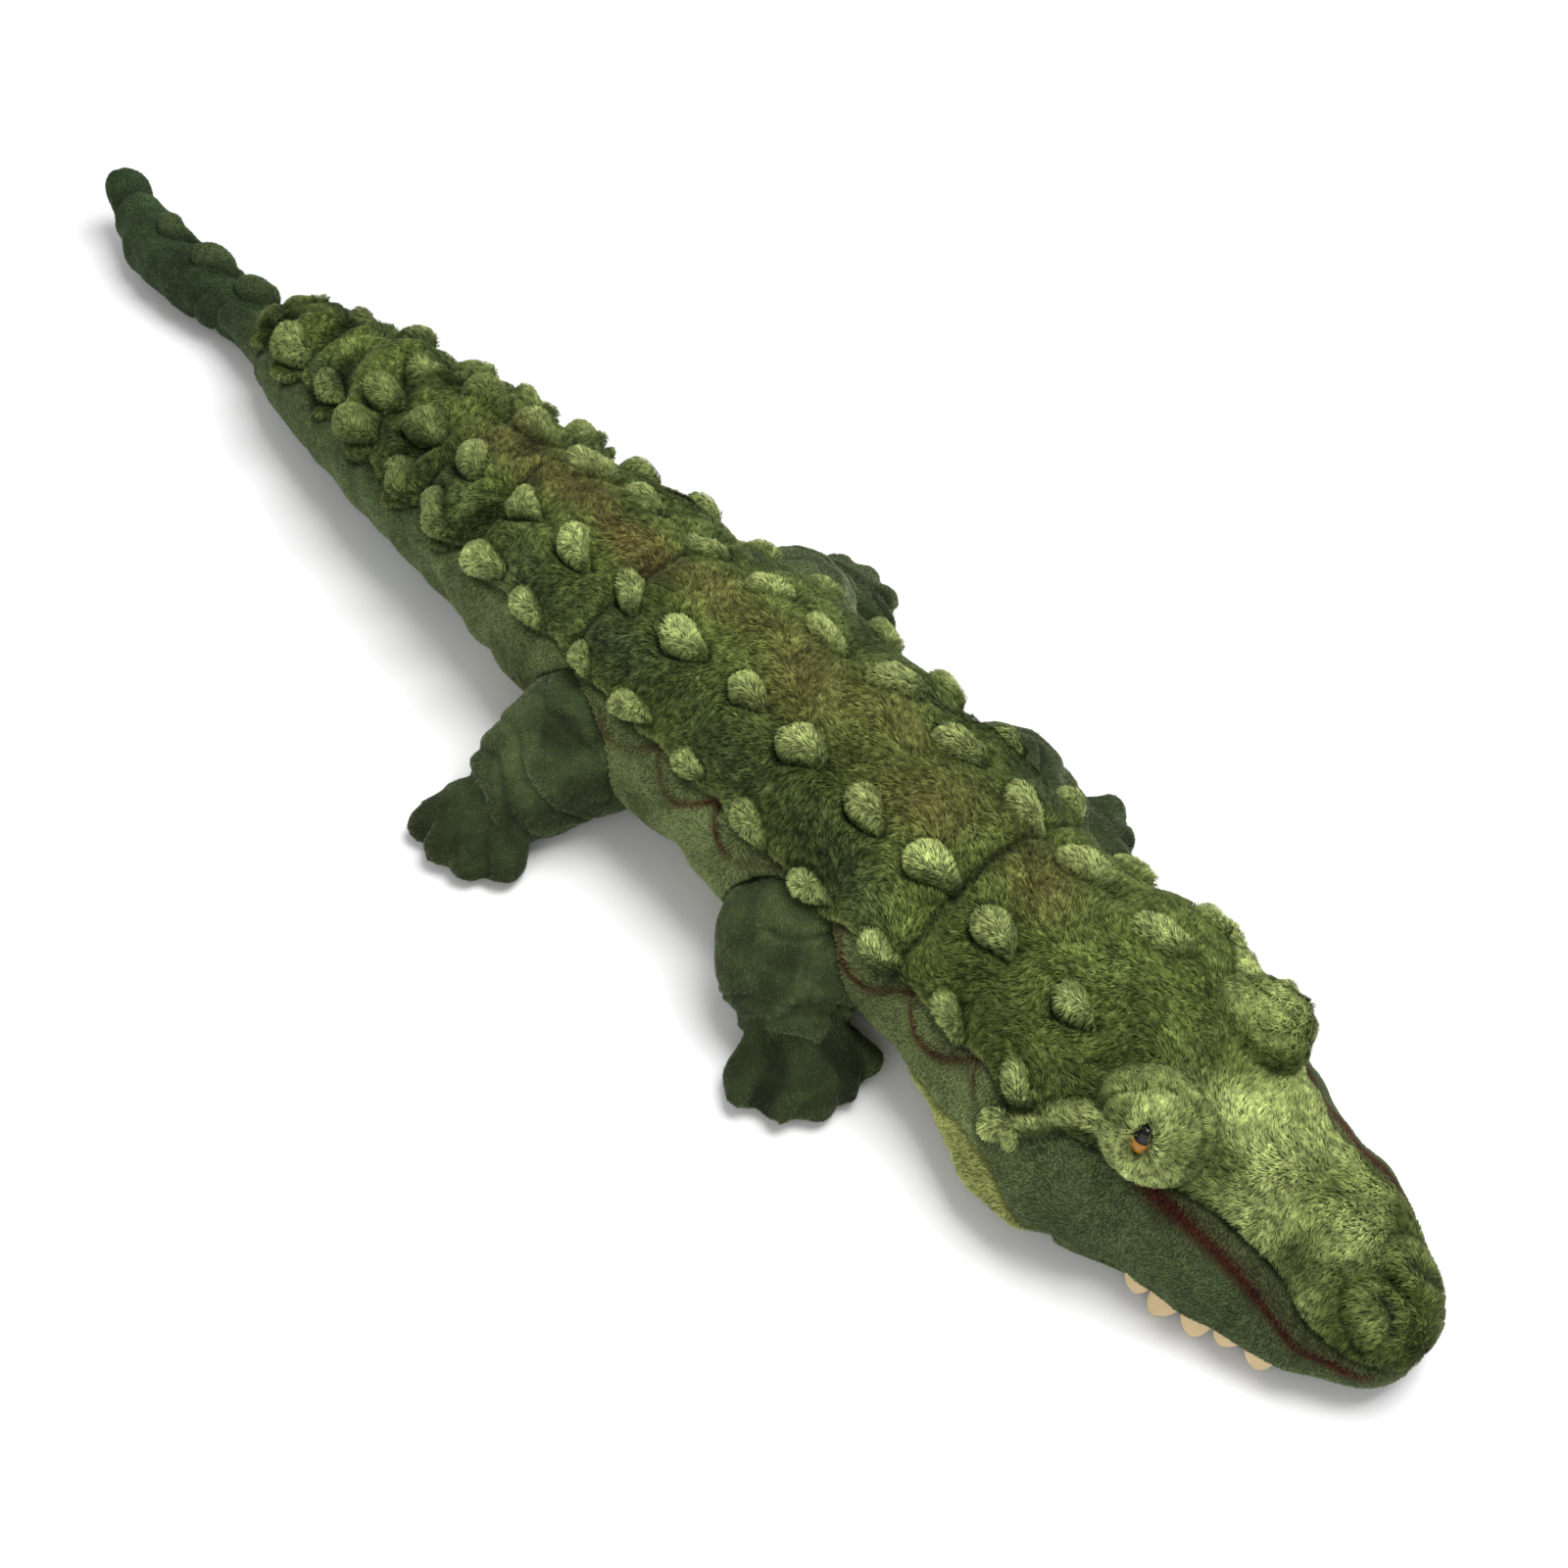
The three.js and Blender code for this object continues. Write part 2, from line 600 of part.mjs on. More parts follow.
// What lies on the head is cut clear of the panel that it is sewn to.
const cover_list = head_list.filter((s) => s.x < shoulder_reach + mound_along + 2 * mound_half_length);
const top_cover = cover(cover_list, head_seam, back_proud + seam_gap);
const side_cover = cover(cover_list, head_seam, seam_gap);

// A felt strip of teeth along a lip or jaw: its root runs level and its teeth stand out from it.
function teeth(sign, from, root, direction, length, offset, splay) {
  const columns = [];
  for (let n = 0; n <= tooth_count * tooth_columns; n++) {
    const x = from + n * tooth_pitch / tooth_columns;
    const drop = tooth_root + length * Math.sin(Math.PI * n / tooth_columns) ** 2;
    const out = offset(x);
    const lean = splay * drop / (tooth_root + length);
    columns.push([
      [x, sign * (out + felt / 2), root],
      [x, sign * (out + felt / 2 + lean), root + direction * drop],
      [x, sign * (out - felt / 2 + lean), root + direction * drop],
      [x, sign * (out - felt / 2), root],
    ]);
  }
  return sweep(columns, (column) => column);
}
const lip_out = (x) => {
  const s = section(head_rows, x);
  return s.half * Math.sin(lip_angle(s)) - felt;
};
const jaw_half = (x) => {
  const along = THREE.MathUtils.smoothstep(x, snout_x - jaw_front_reach, snout_x - jaw_setback);
  return section(head_rows, x).half - THREE.MathUtils.lerp(jaw_inset, jaw_front_inset, along);
};
const teeth_x = hinge_x + teeth_setback;

// A boxy loop across the jaw, and a solid through such loops between two places and two heights.
function jaw_loop(x, half, low, high) {
  const boxy = (value) => Math.sign(value) * Math.abs(value) ** jaw_corner_power;
  return Array.from({ length: jaw_sides }, (_, k) => {
    const turn = full_turn * (k + 0.5) / jaw_sides;
    return [x, half * boxy(Math.sin(turn)), (high + low) / 2 + (high - low) / 2 * boxy(Math.cos(turn))];
  });
}
function jaw_slab(from, to, inset, low, high, rounded = []) {
  const places = Array.from({ length: jaw_steps + 1 }, (_, i) => from + (to - from) * closing(i / jaw_steps));
  const loops = places.map((x) => jaw_loop(x, jaw_half(x) - inset, low, high));
  return sweep([...rounded, ...loops], (loop) => loop);
}
const jaw_front = snout_x - jaw_setback;
const jaw_heel = jaw_heel_degrees.map((degrees) => {
  const turn = THREE.MathUtils.degToRad(degrees);
  const rise = jaw_radius * Math.cos(turn);
  const x = hinge_x + jaw_radius * Math.sin(turn);
  return jaw_loop(x, jaw_half(hinge_x), jaw_radius - rise, jaw_radius + rise);
});
const jaw_deep = jaw_height - jaw_base;
const jaw_pocket = jaw_slab(hinge_x, jaw_front - flank_pile, flank_pile, jaw_base, jaw_height + jaw_deep);
const jaw_core = jaw_slab(
  hinge_x + seam_gap, jaw_front - flank_pile - seam_gap, flank_pile + seam_gap,
  jaw_base + seam_gap, jaw_height + jaw_deep - seam_gap,
);
const jaw_above_end = [snout_x, jowl_half_width, jaw_height + jaw_deep];
const jaw_above = block([mouth_x, -jowl_half_width, jaw_height], jaw_above_end);
const lining_inset = lower_teeth_inset + felt / 2 + seam_gap;
const jaw_lining_low = jaw_height + seam_gap;
const palate_low = palate_height - seam_gap - lining;
const lining_span = [hinge_x + jaw_radius, jaw_front - lining_inset, lining_inset];

piece('jaw_skin', cut(jaw_slab(hinge_x, jaw_front, 0, 0, jaw_height, jaw_heel), jaw_pocket), flank_plush);
piece('jaw_stuffing', cut(jaw_core, jaw_above), stuffing);
piece('jaw_lining', jaw_slab(...lining_span, jaw_lining_low, jaw_lining_low + lining), mouth_felt);
piece('palate_lining', jaw_slab(...lining_span, palate_low, palate_low + lining), mouth_felt);

// An eye is a plastic ball on a stem, which a washer holds in a stuffed mound.
function turned(profile, centre, look) {
  const aim = new THREE.Quaternion().setFromUnitVectors(new THREE.Vector3(0, 1, 0), look);
  return lathe(profile, eye_sides).applyQuaternion(aim).translate(centre.x, centre.y, centre.z);
}
function eye_profile(room) {
  const radius = eye_radius + room;
  const stem = stem_radius + room;
  const arc = Array.from({ length: eye_steps + 1 }, (_, k) => {
    const turn = k / eye_steps * (Math.PI - Math.asin(stem / radius));
    return [k === 0 ? 0 : radius * Math.sin(turn), radius * Math.cos(turn)];
  });
  const foot = -eye_radius - stem_length - room;
  return [[0, foot], [stem, foot], ...arc.reverse()];
}

for (const side of sides) {
  const { name, sign } = side;
  const look = new THREE.Vector3(eye_look.x, sign * eye_look.y, eye_look.z);
  const middle = new THREE.Vector3(shoulder_reach + mound_along, sign * mound_out, mound_height);
  const mound_half = [mound_half_length, mound_half_width, mound_half_height];
  const reach = 1 / new THREE.Vector3(...look.toArray().map((value, k) => value / mound_half[k])).length();
  const eye_middle = middle.clone().addScaledVector(look, reach + eye_proud - eye_radius);
  const washer_top = -eye_radius - washer_depth;
  const washer_foot = washer_top - washer_thickness;
  const bore = stem_radius + seam_gap;
  const washer_ring = [
    [bore, washer_foot],
    [washer_radius, washer_foot],
    [washer_radius, washer_top],
    [bore, washer_top],
    [bore, washer_foot],
  ];
  const pocket_radius = washer_radius + seam_gap;
  const pocket = [
    [0, washer_foot - seam_gap],
    [pocket_radius, washer_foot - seam_gap],
    [pocket_radius, washer_top + seam_gap],
    [0, washer_top + seam_gap],
  ];
  const mound = ball(mound_half, middle.toArray(), eye_sides);
  const ear_half = [ear_half_length, ear_half_thickness, ear_half_height];
  const ear_middle = point(section(head_rows, shoulder_reach + ear_along), sign * ear_angle, 0);
  const ear = ball(ear_half, ear_middle, eye_sides);
  const socket_cut = turned(eye_profile(seam_gap), eye_middle, look);
  const pocket_cut = turned(pocket, eye_middle, look);
  const lower_out = (x) => jaw_half(x) - lower_teeth_inset;
  const upper_teeth = teeth(sign, teeth_x, lip_height - seam_gap, -1, tooth_length, lip_out, tooth_splay);
  const lower_teeth = teeth(sign, teeth_x, jaw_height + seam_gap, 1, lower_tooth_length, lower_out, 0);

  piece(`head_side_${name}`, panel(head_list, side_span(sign), flank_steps, 0, -flank_pile), flank_plush);
  piece(`eye_mound_${name}`, cut(mound, top_cover, socket_cut, pocket_cut), back_plush);
  piece(`eye_${name}`, turned(eye_profile(0), eye_middle, look), eye_plastic);
  piece(`eye_washer_${name}`, turned(washer_ring, eye_middle, look), washer_plastic);
  piece(`ear_flap_${name}`, cut(ear, side_cover), back_plush);
  piece(`upper_teeth_${name}`, upper_teeth, tooth_felt);
  piece(`lower_teeth_${name}`, lower_teeth, tooth_felt);
}

// A foot as rings round its ankle: a ball at the heel that runs out flat to the toes in front. Each direction
// has a turn from the heading and a reach, lift thins the form for its hollow and filling, and hand mirrors it.
function paw(directions, front_share, lift, hand) {
  const radius = ankle_radius + lift;
  const sole = -ankle_height - lift;
  const ring = (heel_out, heel_height, reach_share, toe_height) => directions.map(([turn, reach]) => {
    const front = THREE.MathUtils.smoothstep(Math.cos(turn), ...front_share);
    const out = THREE.MathUtils.lerp(heel_out, (reach + lift) * reach_share, front);
    const height = THREE.MathUtils.lerp(heel_height, toe_height, front);
    return [out * Math.cos(turn), hand * out * Math.sin(turn), height];
  });
  const rings = paw_shares.map(([degrees, reach_share, rise_share]) => {
    const turn = THREE.MathUtils.degToRad(degrees);
    return ring(radius * Math.cos(turn), radius * Math.sin(turn), reach_share, radius * rise_share);
  });
  rings.push(ring(radius * sole_heel_share, sole, sole_reach_share, sole));
  const count = directions.length;
  const top = rings.length * count;
  const corners = [];
  for (let k = 0; k < count; k++) {
    const next = (k + 1) % count;
    corners.push(top, k, next, top + 1, top - count + next, top - count + k);
    for (let i = 0; i < top - count; i += count) {
      corners.push(i + k, i + count + k, i + count + next, i + k, i + count + next, i + next);
    }
  }
  return closed([...rings.flat(2), 0, 0, radius, 0, 0, sole], corners);
}

// The directions of a foot's outline: two for each toe with a notch between toes, and a few round the heel.
function toe_directions(toes) {
  const directions = [];
  for (let k = 0; k < toes; k++) {
    const turn = (k - (toes - 1) / 2) * toe_fan;
    if (k > 0) directions.push([turn - toe_fan / 2, toe_reach * toe_notch_share]);
    directions.push([turn - toe_width / 2, toe_reach], [turn + toe_width / 2, toe_reach]);
  }
  const last = directions[directions.length - 1][0];
  for (let k = 1; k <= heel_steps; k++) {
    directions.push([last + (full_turn - 2 * last) * k / (heel_steps + 1), toe_reach]);
  }
  return directions;
}
const core_directions = Array.from({ length: paw_core_sides }, (_, k) => {
  return [full_turn * k / paw_core_sides, toe_reach * toe_notch_share];
});

// A limb: a thigh whose ball turns in the torso, turned about its way to the ankle, and a foot in its end
const heel_room = clear_of(ankle_radius, full_turn / limb_sides, socket_arc, socket_room_share);
const ankle_height = ankle_radius + seam_gap;
const thigh_filling = flank_pile + seam_gap;
const open_at = -(thigh_radius - flank_pile) * Math.sin(thigh_open);
for (const { name, along, out, forward, outward, heading, toes, side } of limbs) {
  const hip = new THREE.Vector3(along, side.sign * out, hip_height);
  const ankle = new THREE.Vector3(along + forward, side.sign * (out + outward), ankle_height);
  const way = ankle.clone().sub(hip);
  const shank = way.length();
  const thigh_end = shank - ankle_radius * Math.sin(ankle_swing);
  const taper = (inset) => thigh_shares.map(([a, r]) => [r * thigh_radius - inset, a * thigh_end]);
  const mouth = (radius) => [Math.sqrt(radius ** 2 - open_at ** 2), open_at];
  const inner = mouth(thigh_radius - flank_pile);
  const skin = [inner, mouth(thigh_radius), ...taper(0), ...taper(flank_pile).reverse(), inner];
  const hollow = [socket_arc, 0].map((turn) => {
    return [heel_room * Math.sin(turn), shank - heel_room * Math.cos(turn)];
  });
  const core_foot = mouth(thigh_radius - thigh_filling);
  const filling_profile = [[0, core_foot[1]], core_foot, ...taper(thigh_filling), ...hollow];
  const thigh = new THREE.Group();
  thigh.position.copy(hip);
  const aim = way.normalize();
  const across = new THREE.Vector3(0, 0, 1).cross(aim).normalize();
  thigh.quaternion.setFromRotationMatrix(new THREE.Matrix4().makeBasis(across, aim, across.clone().cross(aim)));
  part.add(thigh);
  const label = `${name}_${side.name}`;
  piece(`thigh_${label}_skin`, lathe(skin, limb_sides), limb_plush, thigh);
  piece(`thigh_${label}_stuffing`, lathe(filling_profile, limb_sides), stuffing, thigh);

  const heel_open = -(ankle_radius - flank_pile) * Math.sin(thigh_open);
  const heel_mouth = block([-toe_reach, -toe_reach, -toe_reach], [heel_open, toe_reach, toe_reach]);
  const foot = new THREE.Group();
  foot.position.copy(ankle);
  foot.rotation.z = -side.sign * heading;
  part.add(foot);
  const foot_skin = paw(toe_directions(toes), paw_front_share, 0, -side.sign);
  const foot_hollow = paw(core_directions, paw_core_front_share, -flank_pile, -side.sign);
  const foot_core = paw(core_directions, paw_core_front_share, -thigh_filling, -side.sign);
  piece(`foot_${label}_skin`, cut(foot_skin, foot_hollow, heel_mouth), limb_plush, foot);
  piece(`foot_${label}_stuffing`, foot_core, stuffing, foot);
}

export default part;
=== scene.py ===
"""Looks of a plush crocodile that lies on its belly: dyed pile fabric sewn over stuffed forms.

Places and sizes are in millimetres until a mesh is made, where they become metres. +X runs to the snout,
+Y to the animal's left and +Z up, and z is 0 under the belly.
"""

from __future__ import annotations

import logging
import math
from dataclasses import dataclass, field
from enum import Enum

import bpy
import numpy as np
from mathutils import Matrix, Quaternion, Vector

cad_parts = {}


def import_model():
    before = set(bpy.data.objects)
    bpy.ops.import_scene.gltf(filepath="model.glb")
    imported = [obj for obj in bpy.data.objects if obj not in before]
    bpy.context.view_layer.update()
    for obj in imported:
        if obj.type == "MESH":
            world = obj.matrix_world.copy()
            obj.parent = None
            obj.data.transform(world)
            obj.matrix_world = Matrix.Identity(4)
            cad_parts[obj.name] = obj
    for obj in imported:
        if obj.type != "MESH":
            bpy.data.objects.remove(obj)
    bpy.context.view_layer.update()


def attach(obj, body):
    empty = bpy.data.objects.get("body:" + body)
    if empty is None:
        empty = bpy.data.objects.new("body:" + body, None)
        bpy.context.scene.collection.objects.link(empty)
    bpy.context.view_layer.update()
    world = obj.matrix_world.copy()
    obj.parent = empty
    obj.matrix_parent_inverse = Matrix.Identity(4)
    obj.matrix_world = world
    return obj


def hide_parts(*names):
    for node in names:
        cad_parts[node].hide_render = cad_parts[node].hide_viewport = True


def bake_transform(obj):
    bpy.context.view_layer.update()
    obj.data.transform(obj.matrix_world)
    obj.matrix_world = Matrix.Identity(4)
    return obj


log = logging.getLogger("crocodile")

Array = np.ndarray
Marks = dict[str, Array]
Colour = tuple[float, float, float, float]

MM = 0.001

# How high ripples usually reach, in units of their root mean square
RIPPLE_PEAK = 1.4

# Lengths along the body, from the middle of the belly
SHOULDER_REACH = 165.0
RUMP_REACH = 180.0
TAIL_ROOT_LENGTH = 120.0
TAIL_MID_LENGTH = 104.0
TAIL_TIP_LENGTH = 178.0
HEAD_LENGTH = 194.0
TAIL_MID_X = -RUMP_REACH - TAIL_ROOT_LENGTH
TAIL_TIP_X = TAIL_MID_X - TAIL_MID_LENGTH
TAIL_END_X = TAIL_TIP_X - TAIL_TIP_LENGTH
SNOUT_X = SHOULDER_REACH + HEAD_LENGTH

# Half width, waist and top of the stuffed forms, and the scale of the tail tip's underside
BELLY = (69.0, 45.0, 103.0)
JOWL = (78.0, 25.0, 90.0)
TIP = (17.0, 18.0, 37.0, 37.0)
BELLY_SINK = 0.5
TIP_SEAM = 118.0

# Mouth
MOUTH_CORNER = 70.0
HINGE_X = SHOULDER_REACH + MOUTH_CORNER
MOUTH_X = HINGE_X - 5.0
LIP_HEIGHT = 9.8
PALATE_HEIGHT = 17.9
JAW_HEIGHT = 9.3
JAW_FRONT = SNOUT_X - 7.0

# Scutes: their pitch, their half length, half width and height, and the fold round them
SCUTE_PITCH = 39.0
SCUTE_HALF = (12.4, 6.9, 7.2)
SCUTE_FOLD = 4.2
OUTER_START = 0.0
INNER_START = -4.0
INNER_REACH = -285.0
INNER_SHARE = 0.37
CREST_COUNT = 3
CREST_START = 24.0
CREST_PITCH = 40.0

# The padded ridge from the left eye to the ear, and the slit of the left nostril, seen from above
RIDGE_PATH = np.array([(236, 42, 71), (221, 49, 71), (207, 62, 60), (196, 70, 52)], float)
SLIT_PATH = np.array([(341, 9, 0), (346, 9.5, 0), (349, 13, 0)], float)

# Where the ears are: their place along the body and their angle from the top in degrees
EAR_X = 199.0
EAR_ANGLE = 67.0

# Where the body's skin is cut into stretches
TIP_CUT = -352.0
MID_CUT = -240.0
ROOT_CUT = -120.0
HEAD_CUT = 118.0

# A skin has to have this many vertices of a pile for it to be grown
LEAST_COVER = 40

# Seeds of the piles of the body, the legs, the eye mounds, the ears and the jaw
BODY_SEED = 100
LEG_SEED = 200
MOUND_SEED = 300
EAR_SEED = 310
JAW_SEED = 320

# Shares of a form's own sizes: along, half width, waist, height, and the angles of the back panel's edge and
# of the belly seam in degrees from the top
TORSO_SHARES = (
    (0, 0.783, 0.98, 0.874, 56, 118),
    (0.087, 0.826, 1.02, 0.92, 57, 118),
    (0.232, 0.913, 1.04, 0.97, 57, 118),
    (0.377, 0.97, 1.02, 1, 56, 118),
    (0.522, 1, 1, 1, 56, 118),
    (0.667, 1, 0.98, 0.98, 57, 116),
    (0.812, 0.97, 0.93, 0.94, 60, 113),
    (0.9, 0.935, 0.89, 0.913, 61, 109),
    (1, 0.957, 0.8, 0.874, 58, 100),
)
TAIL_SHARES = (
    (0.13, 0.95, 0.98, 0.96, 57, 118),
    (0.31, 0.9, 0.95, 0.9, 54, 118),
    (0.54, 0.8, 0.85, 0.81, 44, 118),
    (0.71, 0.69, 0.75, 0.73, 40, 118),
    (0.85, 0.57, 0.64, 0.64, 34, 118),
    (0.93, 0.47, 0.55, 0.56, 28, 118),
    (1, 0.3, 0.48, 0.45, 20, 118),
)
HEAD_SHARES = (
    (0.07, 0.9, 1.32, 1, 55, 97),
    (0.155, 0.968, 1.16, 0.989, 52, 97),
    (0.27, 1, 1, 0.956, 47, 100),
    (0.385, 0.923, 0.84, 0.889, 42, 106),
    (0.5, 0.795, 0.68, 0.789, 38, 118),
    (0.62, 0.718, 0.64, 0.689, 34, 118),
    (0.747, 0.628, 0.64, 0.606, 37, 118),
    (0.85, 0.526, 0.64, 0.544, 50, 118),
    (0.928, 0.397, 0.64, 0.489, 58, 118),
    (0.97, 0.282, 0.64, 0.422, 60, 118),
    (0.992, 0.167, 0.64, 0.344, 60, 118),
    (1, 0.07, 0.64, 0.28, 60, 118),
)

# The same for the tail's tip: along, half width, waist, top and underside
TIP_SHARES = (
    (0.2, 0.88, 1.1, 1.03, 0.05),
    (0.43, 1, 1, 1, 0),
    (0.65, 1, 1, 1, 0),
    (0.82, 0.82, 1.2, 1.03, 0.14),
    (0.92, 0.62, 1.55, 1.08, 0.4),
    (0.98, 0.46, 1.75, 1.08, 0.6),
    (1, 0.3, 1.85, 1.04, 0.72),
)


def dye(code: str) -> Colour:
    """A colour from its six hexadecimal digits, each of red, green and blue turned from sRGB to linear light.

    Args:
        code: Six digits, such as "5f7f35".

    Returns:
        The linear colour with an alpha of 1.
    """
    values = [int(code[i : i + 2], 16) / 255 for i in (0, 2, 4)]
    linear = [v / 12.92 if v <= 0.04045 else ((v + 0.055) / 1.055) ** 2.4 for v in values]
    return (linear[0], linear[1], linear[2], 1.0)


def ease(value: Array, low: float, high: float) -> Array:
    """Rises smoothly from 0 at low to 1 at high: t squared times (3 minus 2 t).

    Args:
        value: The values read.
        low: Where the rise starts; it may lie above high, and then the curve falls.
        high: Where it ends.

    Returns:
        The eased shares.
    """
    t = np.clip((value - low) / (high - low), 0, 1)
    return t * t * (3 - 2 * t)


def bell(value: Array, width: float | Array) -> Array:
    """A bell that is 1 at 0: e to the minus (value over width) squared.

    Args:
        value: The distance from the bell's middle.
        width: Where it has fallen to 0.37.

    Returns:
        The bell's heights.
    """
    return np.exp(-((value / width) ** 2))


def unit(vectors: Array) -> Array:
    """Vectors scaled to a length of 1.

    Args:
        vectors: Rows of three numbers.

    Returns:
        The same rows at unit length.
    """
    return vectors / np.maximum(np.linalg.norm(vectors, axis=-1, keepdims=True), 1e-9)


def ripples(points: Array, length: float, seed: int, waves: int = 10) -> Array:
    """Smooth seeded unevenness from about -1 to 1: the mean of sine waves that run in random directions.

    Args:
        points: Places, three numbers each.
        length: The waves' length in millimetres, give or take a third.
        seed: The seed of the directions and phases.
        waves: How many waves are added.

    Returns:
        One value for each place.
    """
    rng = np.random.default_rng(seed)
    turn = unit(rng.normal(size=(waves, 3))) * 2 * math.pi / length
    turn *= rng.uniform(0.7, 1.35, (waves, 1))
    waving = np.sin(points @ turn.T + rng.uniform(0, 2 * math.pi, waves)).sum(-1)
    return waving * (2 / waves) ** 0.5 / RIPPLE_PEAK


def full_turn(count: int, start: float = 0.0) -> Array:
    """Even angles once round, in radians.

    Args:
        count: How many there are.
        start: The first of them.

    Returns:
        The angles.
    """
    return np.linspace(start, start + 2 * math.pi, count, endpoint=False)


def path_distance(points: Array, path: Array) -> Array:
    """The distance of each place from a path of straight pieces: the least of its distances from them.

    Args:
        points: Places, three numbers each.
        path: The path's corners, three numbers each.

    Returns:
        One distance for each place.
    """
    nearest = np.full(points.shape[:-1], np.inf)
    for a, b in zip(path[:-1], path[1:]):
        step = b - a
        t = np.clip(((points - a) @ step) / (step @ step), 0, 1)
        nearest = np.minimum(nearest, np.linalg.norm(points - a - t[..., None] * step, axis=-1))
    return nearest


@dataclass(frozen=True)
class Form:
    """The body's stuffed form: each cross-section is two half ellipses that meet at its waist.

    Attributes:
        rows: One row for each place: x, half width, waist, top, underside, back edge, belly seam.
    """

    rows: Array

    def read(self, x: Array) -> Array:
        """Reads the rows at any places, on cubic curves through them.

        With u the share of the way between two rows, a value is the first, plus u squared (3 - 2u) times the
        step, plus u (1 - u) ((1 - u) first slope - u second slope) times the span.

        Args:
            x: Places along the body.

        Returns:
            The seven columns, each in the shape of x.
        """
        rows = self.rows
        last = len(rows) - 1
        i = np.clip(np.searchsorted(rows[:, 0], x) - 1, 0, last - 1)
        before = np.maximum(np.arange(last + 1) - 1, 0)
        after = np.minimum(np.arange(last + 1) + 1, last)
        slopes = (rows[after] - rows[before]) / (rows[after, :1] - rows[before, :1])
        span = (rows[i + 1, 0] - rows[i, 0])[..., None]
        u = np.clip((x[..., None] - rows[i, 0][..., None]) / span, 0, 1)
        pull = u * (1 - u) * ((1 - u) * slopes[i] - u * slopes[i + 1]) * span
        read = rows[i] + u * u * (3 - 2 * u) * (rows[i + 1] - rows[i]) + pull
        return np.moveaxis(read, -1, 0)

    def place(self, x: Array, angle: Array, lift: Array | float) -> Array:
        """Places on the form, or lifted off it.

        y is (half width + lift) sin angle, and z is the waist plus (rise + lift) cos angle, where the rise is
        top minus waist above the waist and waist minus underside below it.

        Args:
            x: Places along the body.
            angle: Angles from the top, towards the animal's left.
            lift: How far off the form.

        Returns:
            Places, three numbers each.
        """
        _, half, waist, top, bottom, _, _ = self.read(x)
        rise = np.where(np.cos(angle) > 0, top - waist, waist - bottom)
        y = (half + lift) * np.sin(angle)
        z = waist + (rise + lift) * np.cos(angle)
        return np.stack([x + 0 * angle, y, z], -1)


def body_form() -> Form:
    """The whole body from the tail's end to the snout as one form.

    Returns:
        The form, its rows in order of x.
    """
    half, waist, top = BELLY
    torso_length = SHOULDER_REACH + RUMP_REACH
    torso = [
        (a * torso_length - RUMP_REACH, h * half, w * waist, t * top, -BELLY_SINK, edge, seam)
        for a, h, w, t, edge, seam in TORSO_SHARES
    ]
    rump = torso[0]
    tail_length = TAIL_ROOT_LENGTH + TAIL_MID_LENGTH
    tail = [
        (-RUMP_REACH - a * tail_length, h * rump[1], w * rump[2], t * rump[3], 0, edge, seam)
        for a, h, w, t, edge, seam in TAIL_SHARES
    ]
    tip = [
        (TAIL_TIP_X - a * TAIL_TIP_LENGTH, h * TIP[0], w * TIP[1], t * TIP[2], b * TIP[3], 0, TIP_SEAM)
        for a, h, w, t, b in TIP_SHARES
    ]
    head = [
        (SHOULDER_REACH + a * HEAD_LENGTH, h * JOWL[0], w * JOWL[1], t * JOWL[2], 0, edge, seam)
        for a, h, w, t, edge, seam in HEAD_SHARES
    ]
    rows = np.array(tip[::-1] + tail[::-1] + torso + head, float)
    rows[:, 5:] = np.radians(rows[:, 5:])
    return Form(rows)


@dataclass(frozen=True)
class Scute:
    """One pinched tuft.

    Attributes:
        x: Its place along the body.
        angle: Its angle from the top.
        size: Its share of full size.
        turn: How far it is turned from the body's length.
    """

    x: float
    angle: float
    size: float
    turn: float = 0.0


def scute_rows(form: Form) -> list[Scute]:
    """The four rows of scutes, the outer two on the back panel's edges and the inner two beside the spine.

    Each is a little off its row's place, size and direction, because it was pinched and sewn by hand.

    Args:
        form: The body's form.

    Returns:
        The scutes of all rows.
    """
    tufts: list[Scute] = []
    rng = np.random.default_rng(41)
    for start, inner, low, high in (
        (OUTER_START, False, TAIL_TIP_X + 14, 212.0),
        (INNER_START, True, INNER_REACH, 222.0),
    ):
        first = math.ceil((low - start) / SCUTE_PITCH)
        last = math.floor((high - start) / SCUTE_PITCH)
        count = np.arange(first, last + 1)
        for sign in (1, -1):
            x = start + count * SCUTE_PITCH + rng.uniform(-3.5, 3.5, len(count)) * (1 if inner else 0.4)
            _, half, _, _, _, edge, _ = form.read(x)
            size = np.minimum(1, np.sqrt(half / BELLY[0]) + 0.16) * rng.uniform(0.84, 1.12, len(count))
            tail = ease(x, -90, -200)
            size *= 1 + 0.2 * tail if inner else 0.84 + 0.28 * tail
            middle = edge * INNER_SHARE + rng.uniform(-2.5, 2.5, len(count)) / half
            angle = middle if inner else edge - (SCUTE_HALF[1] * size - 3) / half
            turn = rng.uniform(-0.35, 0.35, len(count)) + sign * 0.12
            for n in range(len(x)):
                tufts.append(Scute(float(x[n]), float(sign * angle[n]), float(size[n]), float(turn[n])))
    for n in range(CREST_COUNT):
        tufts.append(Scute(TAIL_TIP_X - CREST_START - n * CREST_PITCH, 0.32, 1.25 - 0.12 * n, 0.2))
    return tufts


def scatter(cell: Array) -> Array:
    """Seeded numbers from -0.5 to 0.5 for each cell: the fraction of a large sine of its steps, less a half.

    Args:
        cell: Whole steps along x, y and z.

    Returns:
        Three numbers for each cell.
    """
    steps = np.array([[12.99, 78.23, 37.72], [39.35, 11.14, 83.16], [57.42, 26.65, 7.91]])
    large = np.sin(cell @ steps) * 43758.5
    return large - np.floor(large) - 0.5


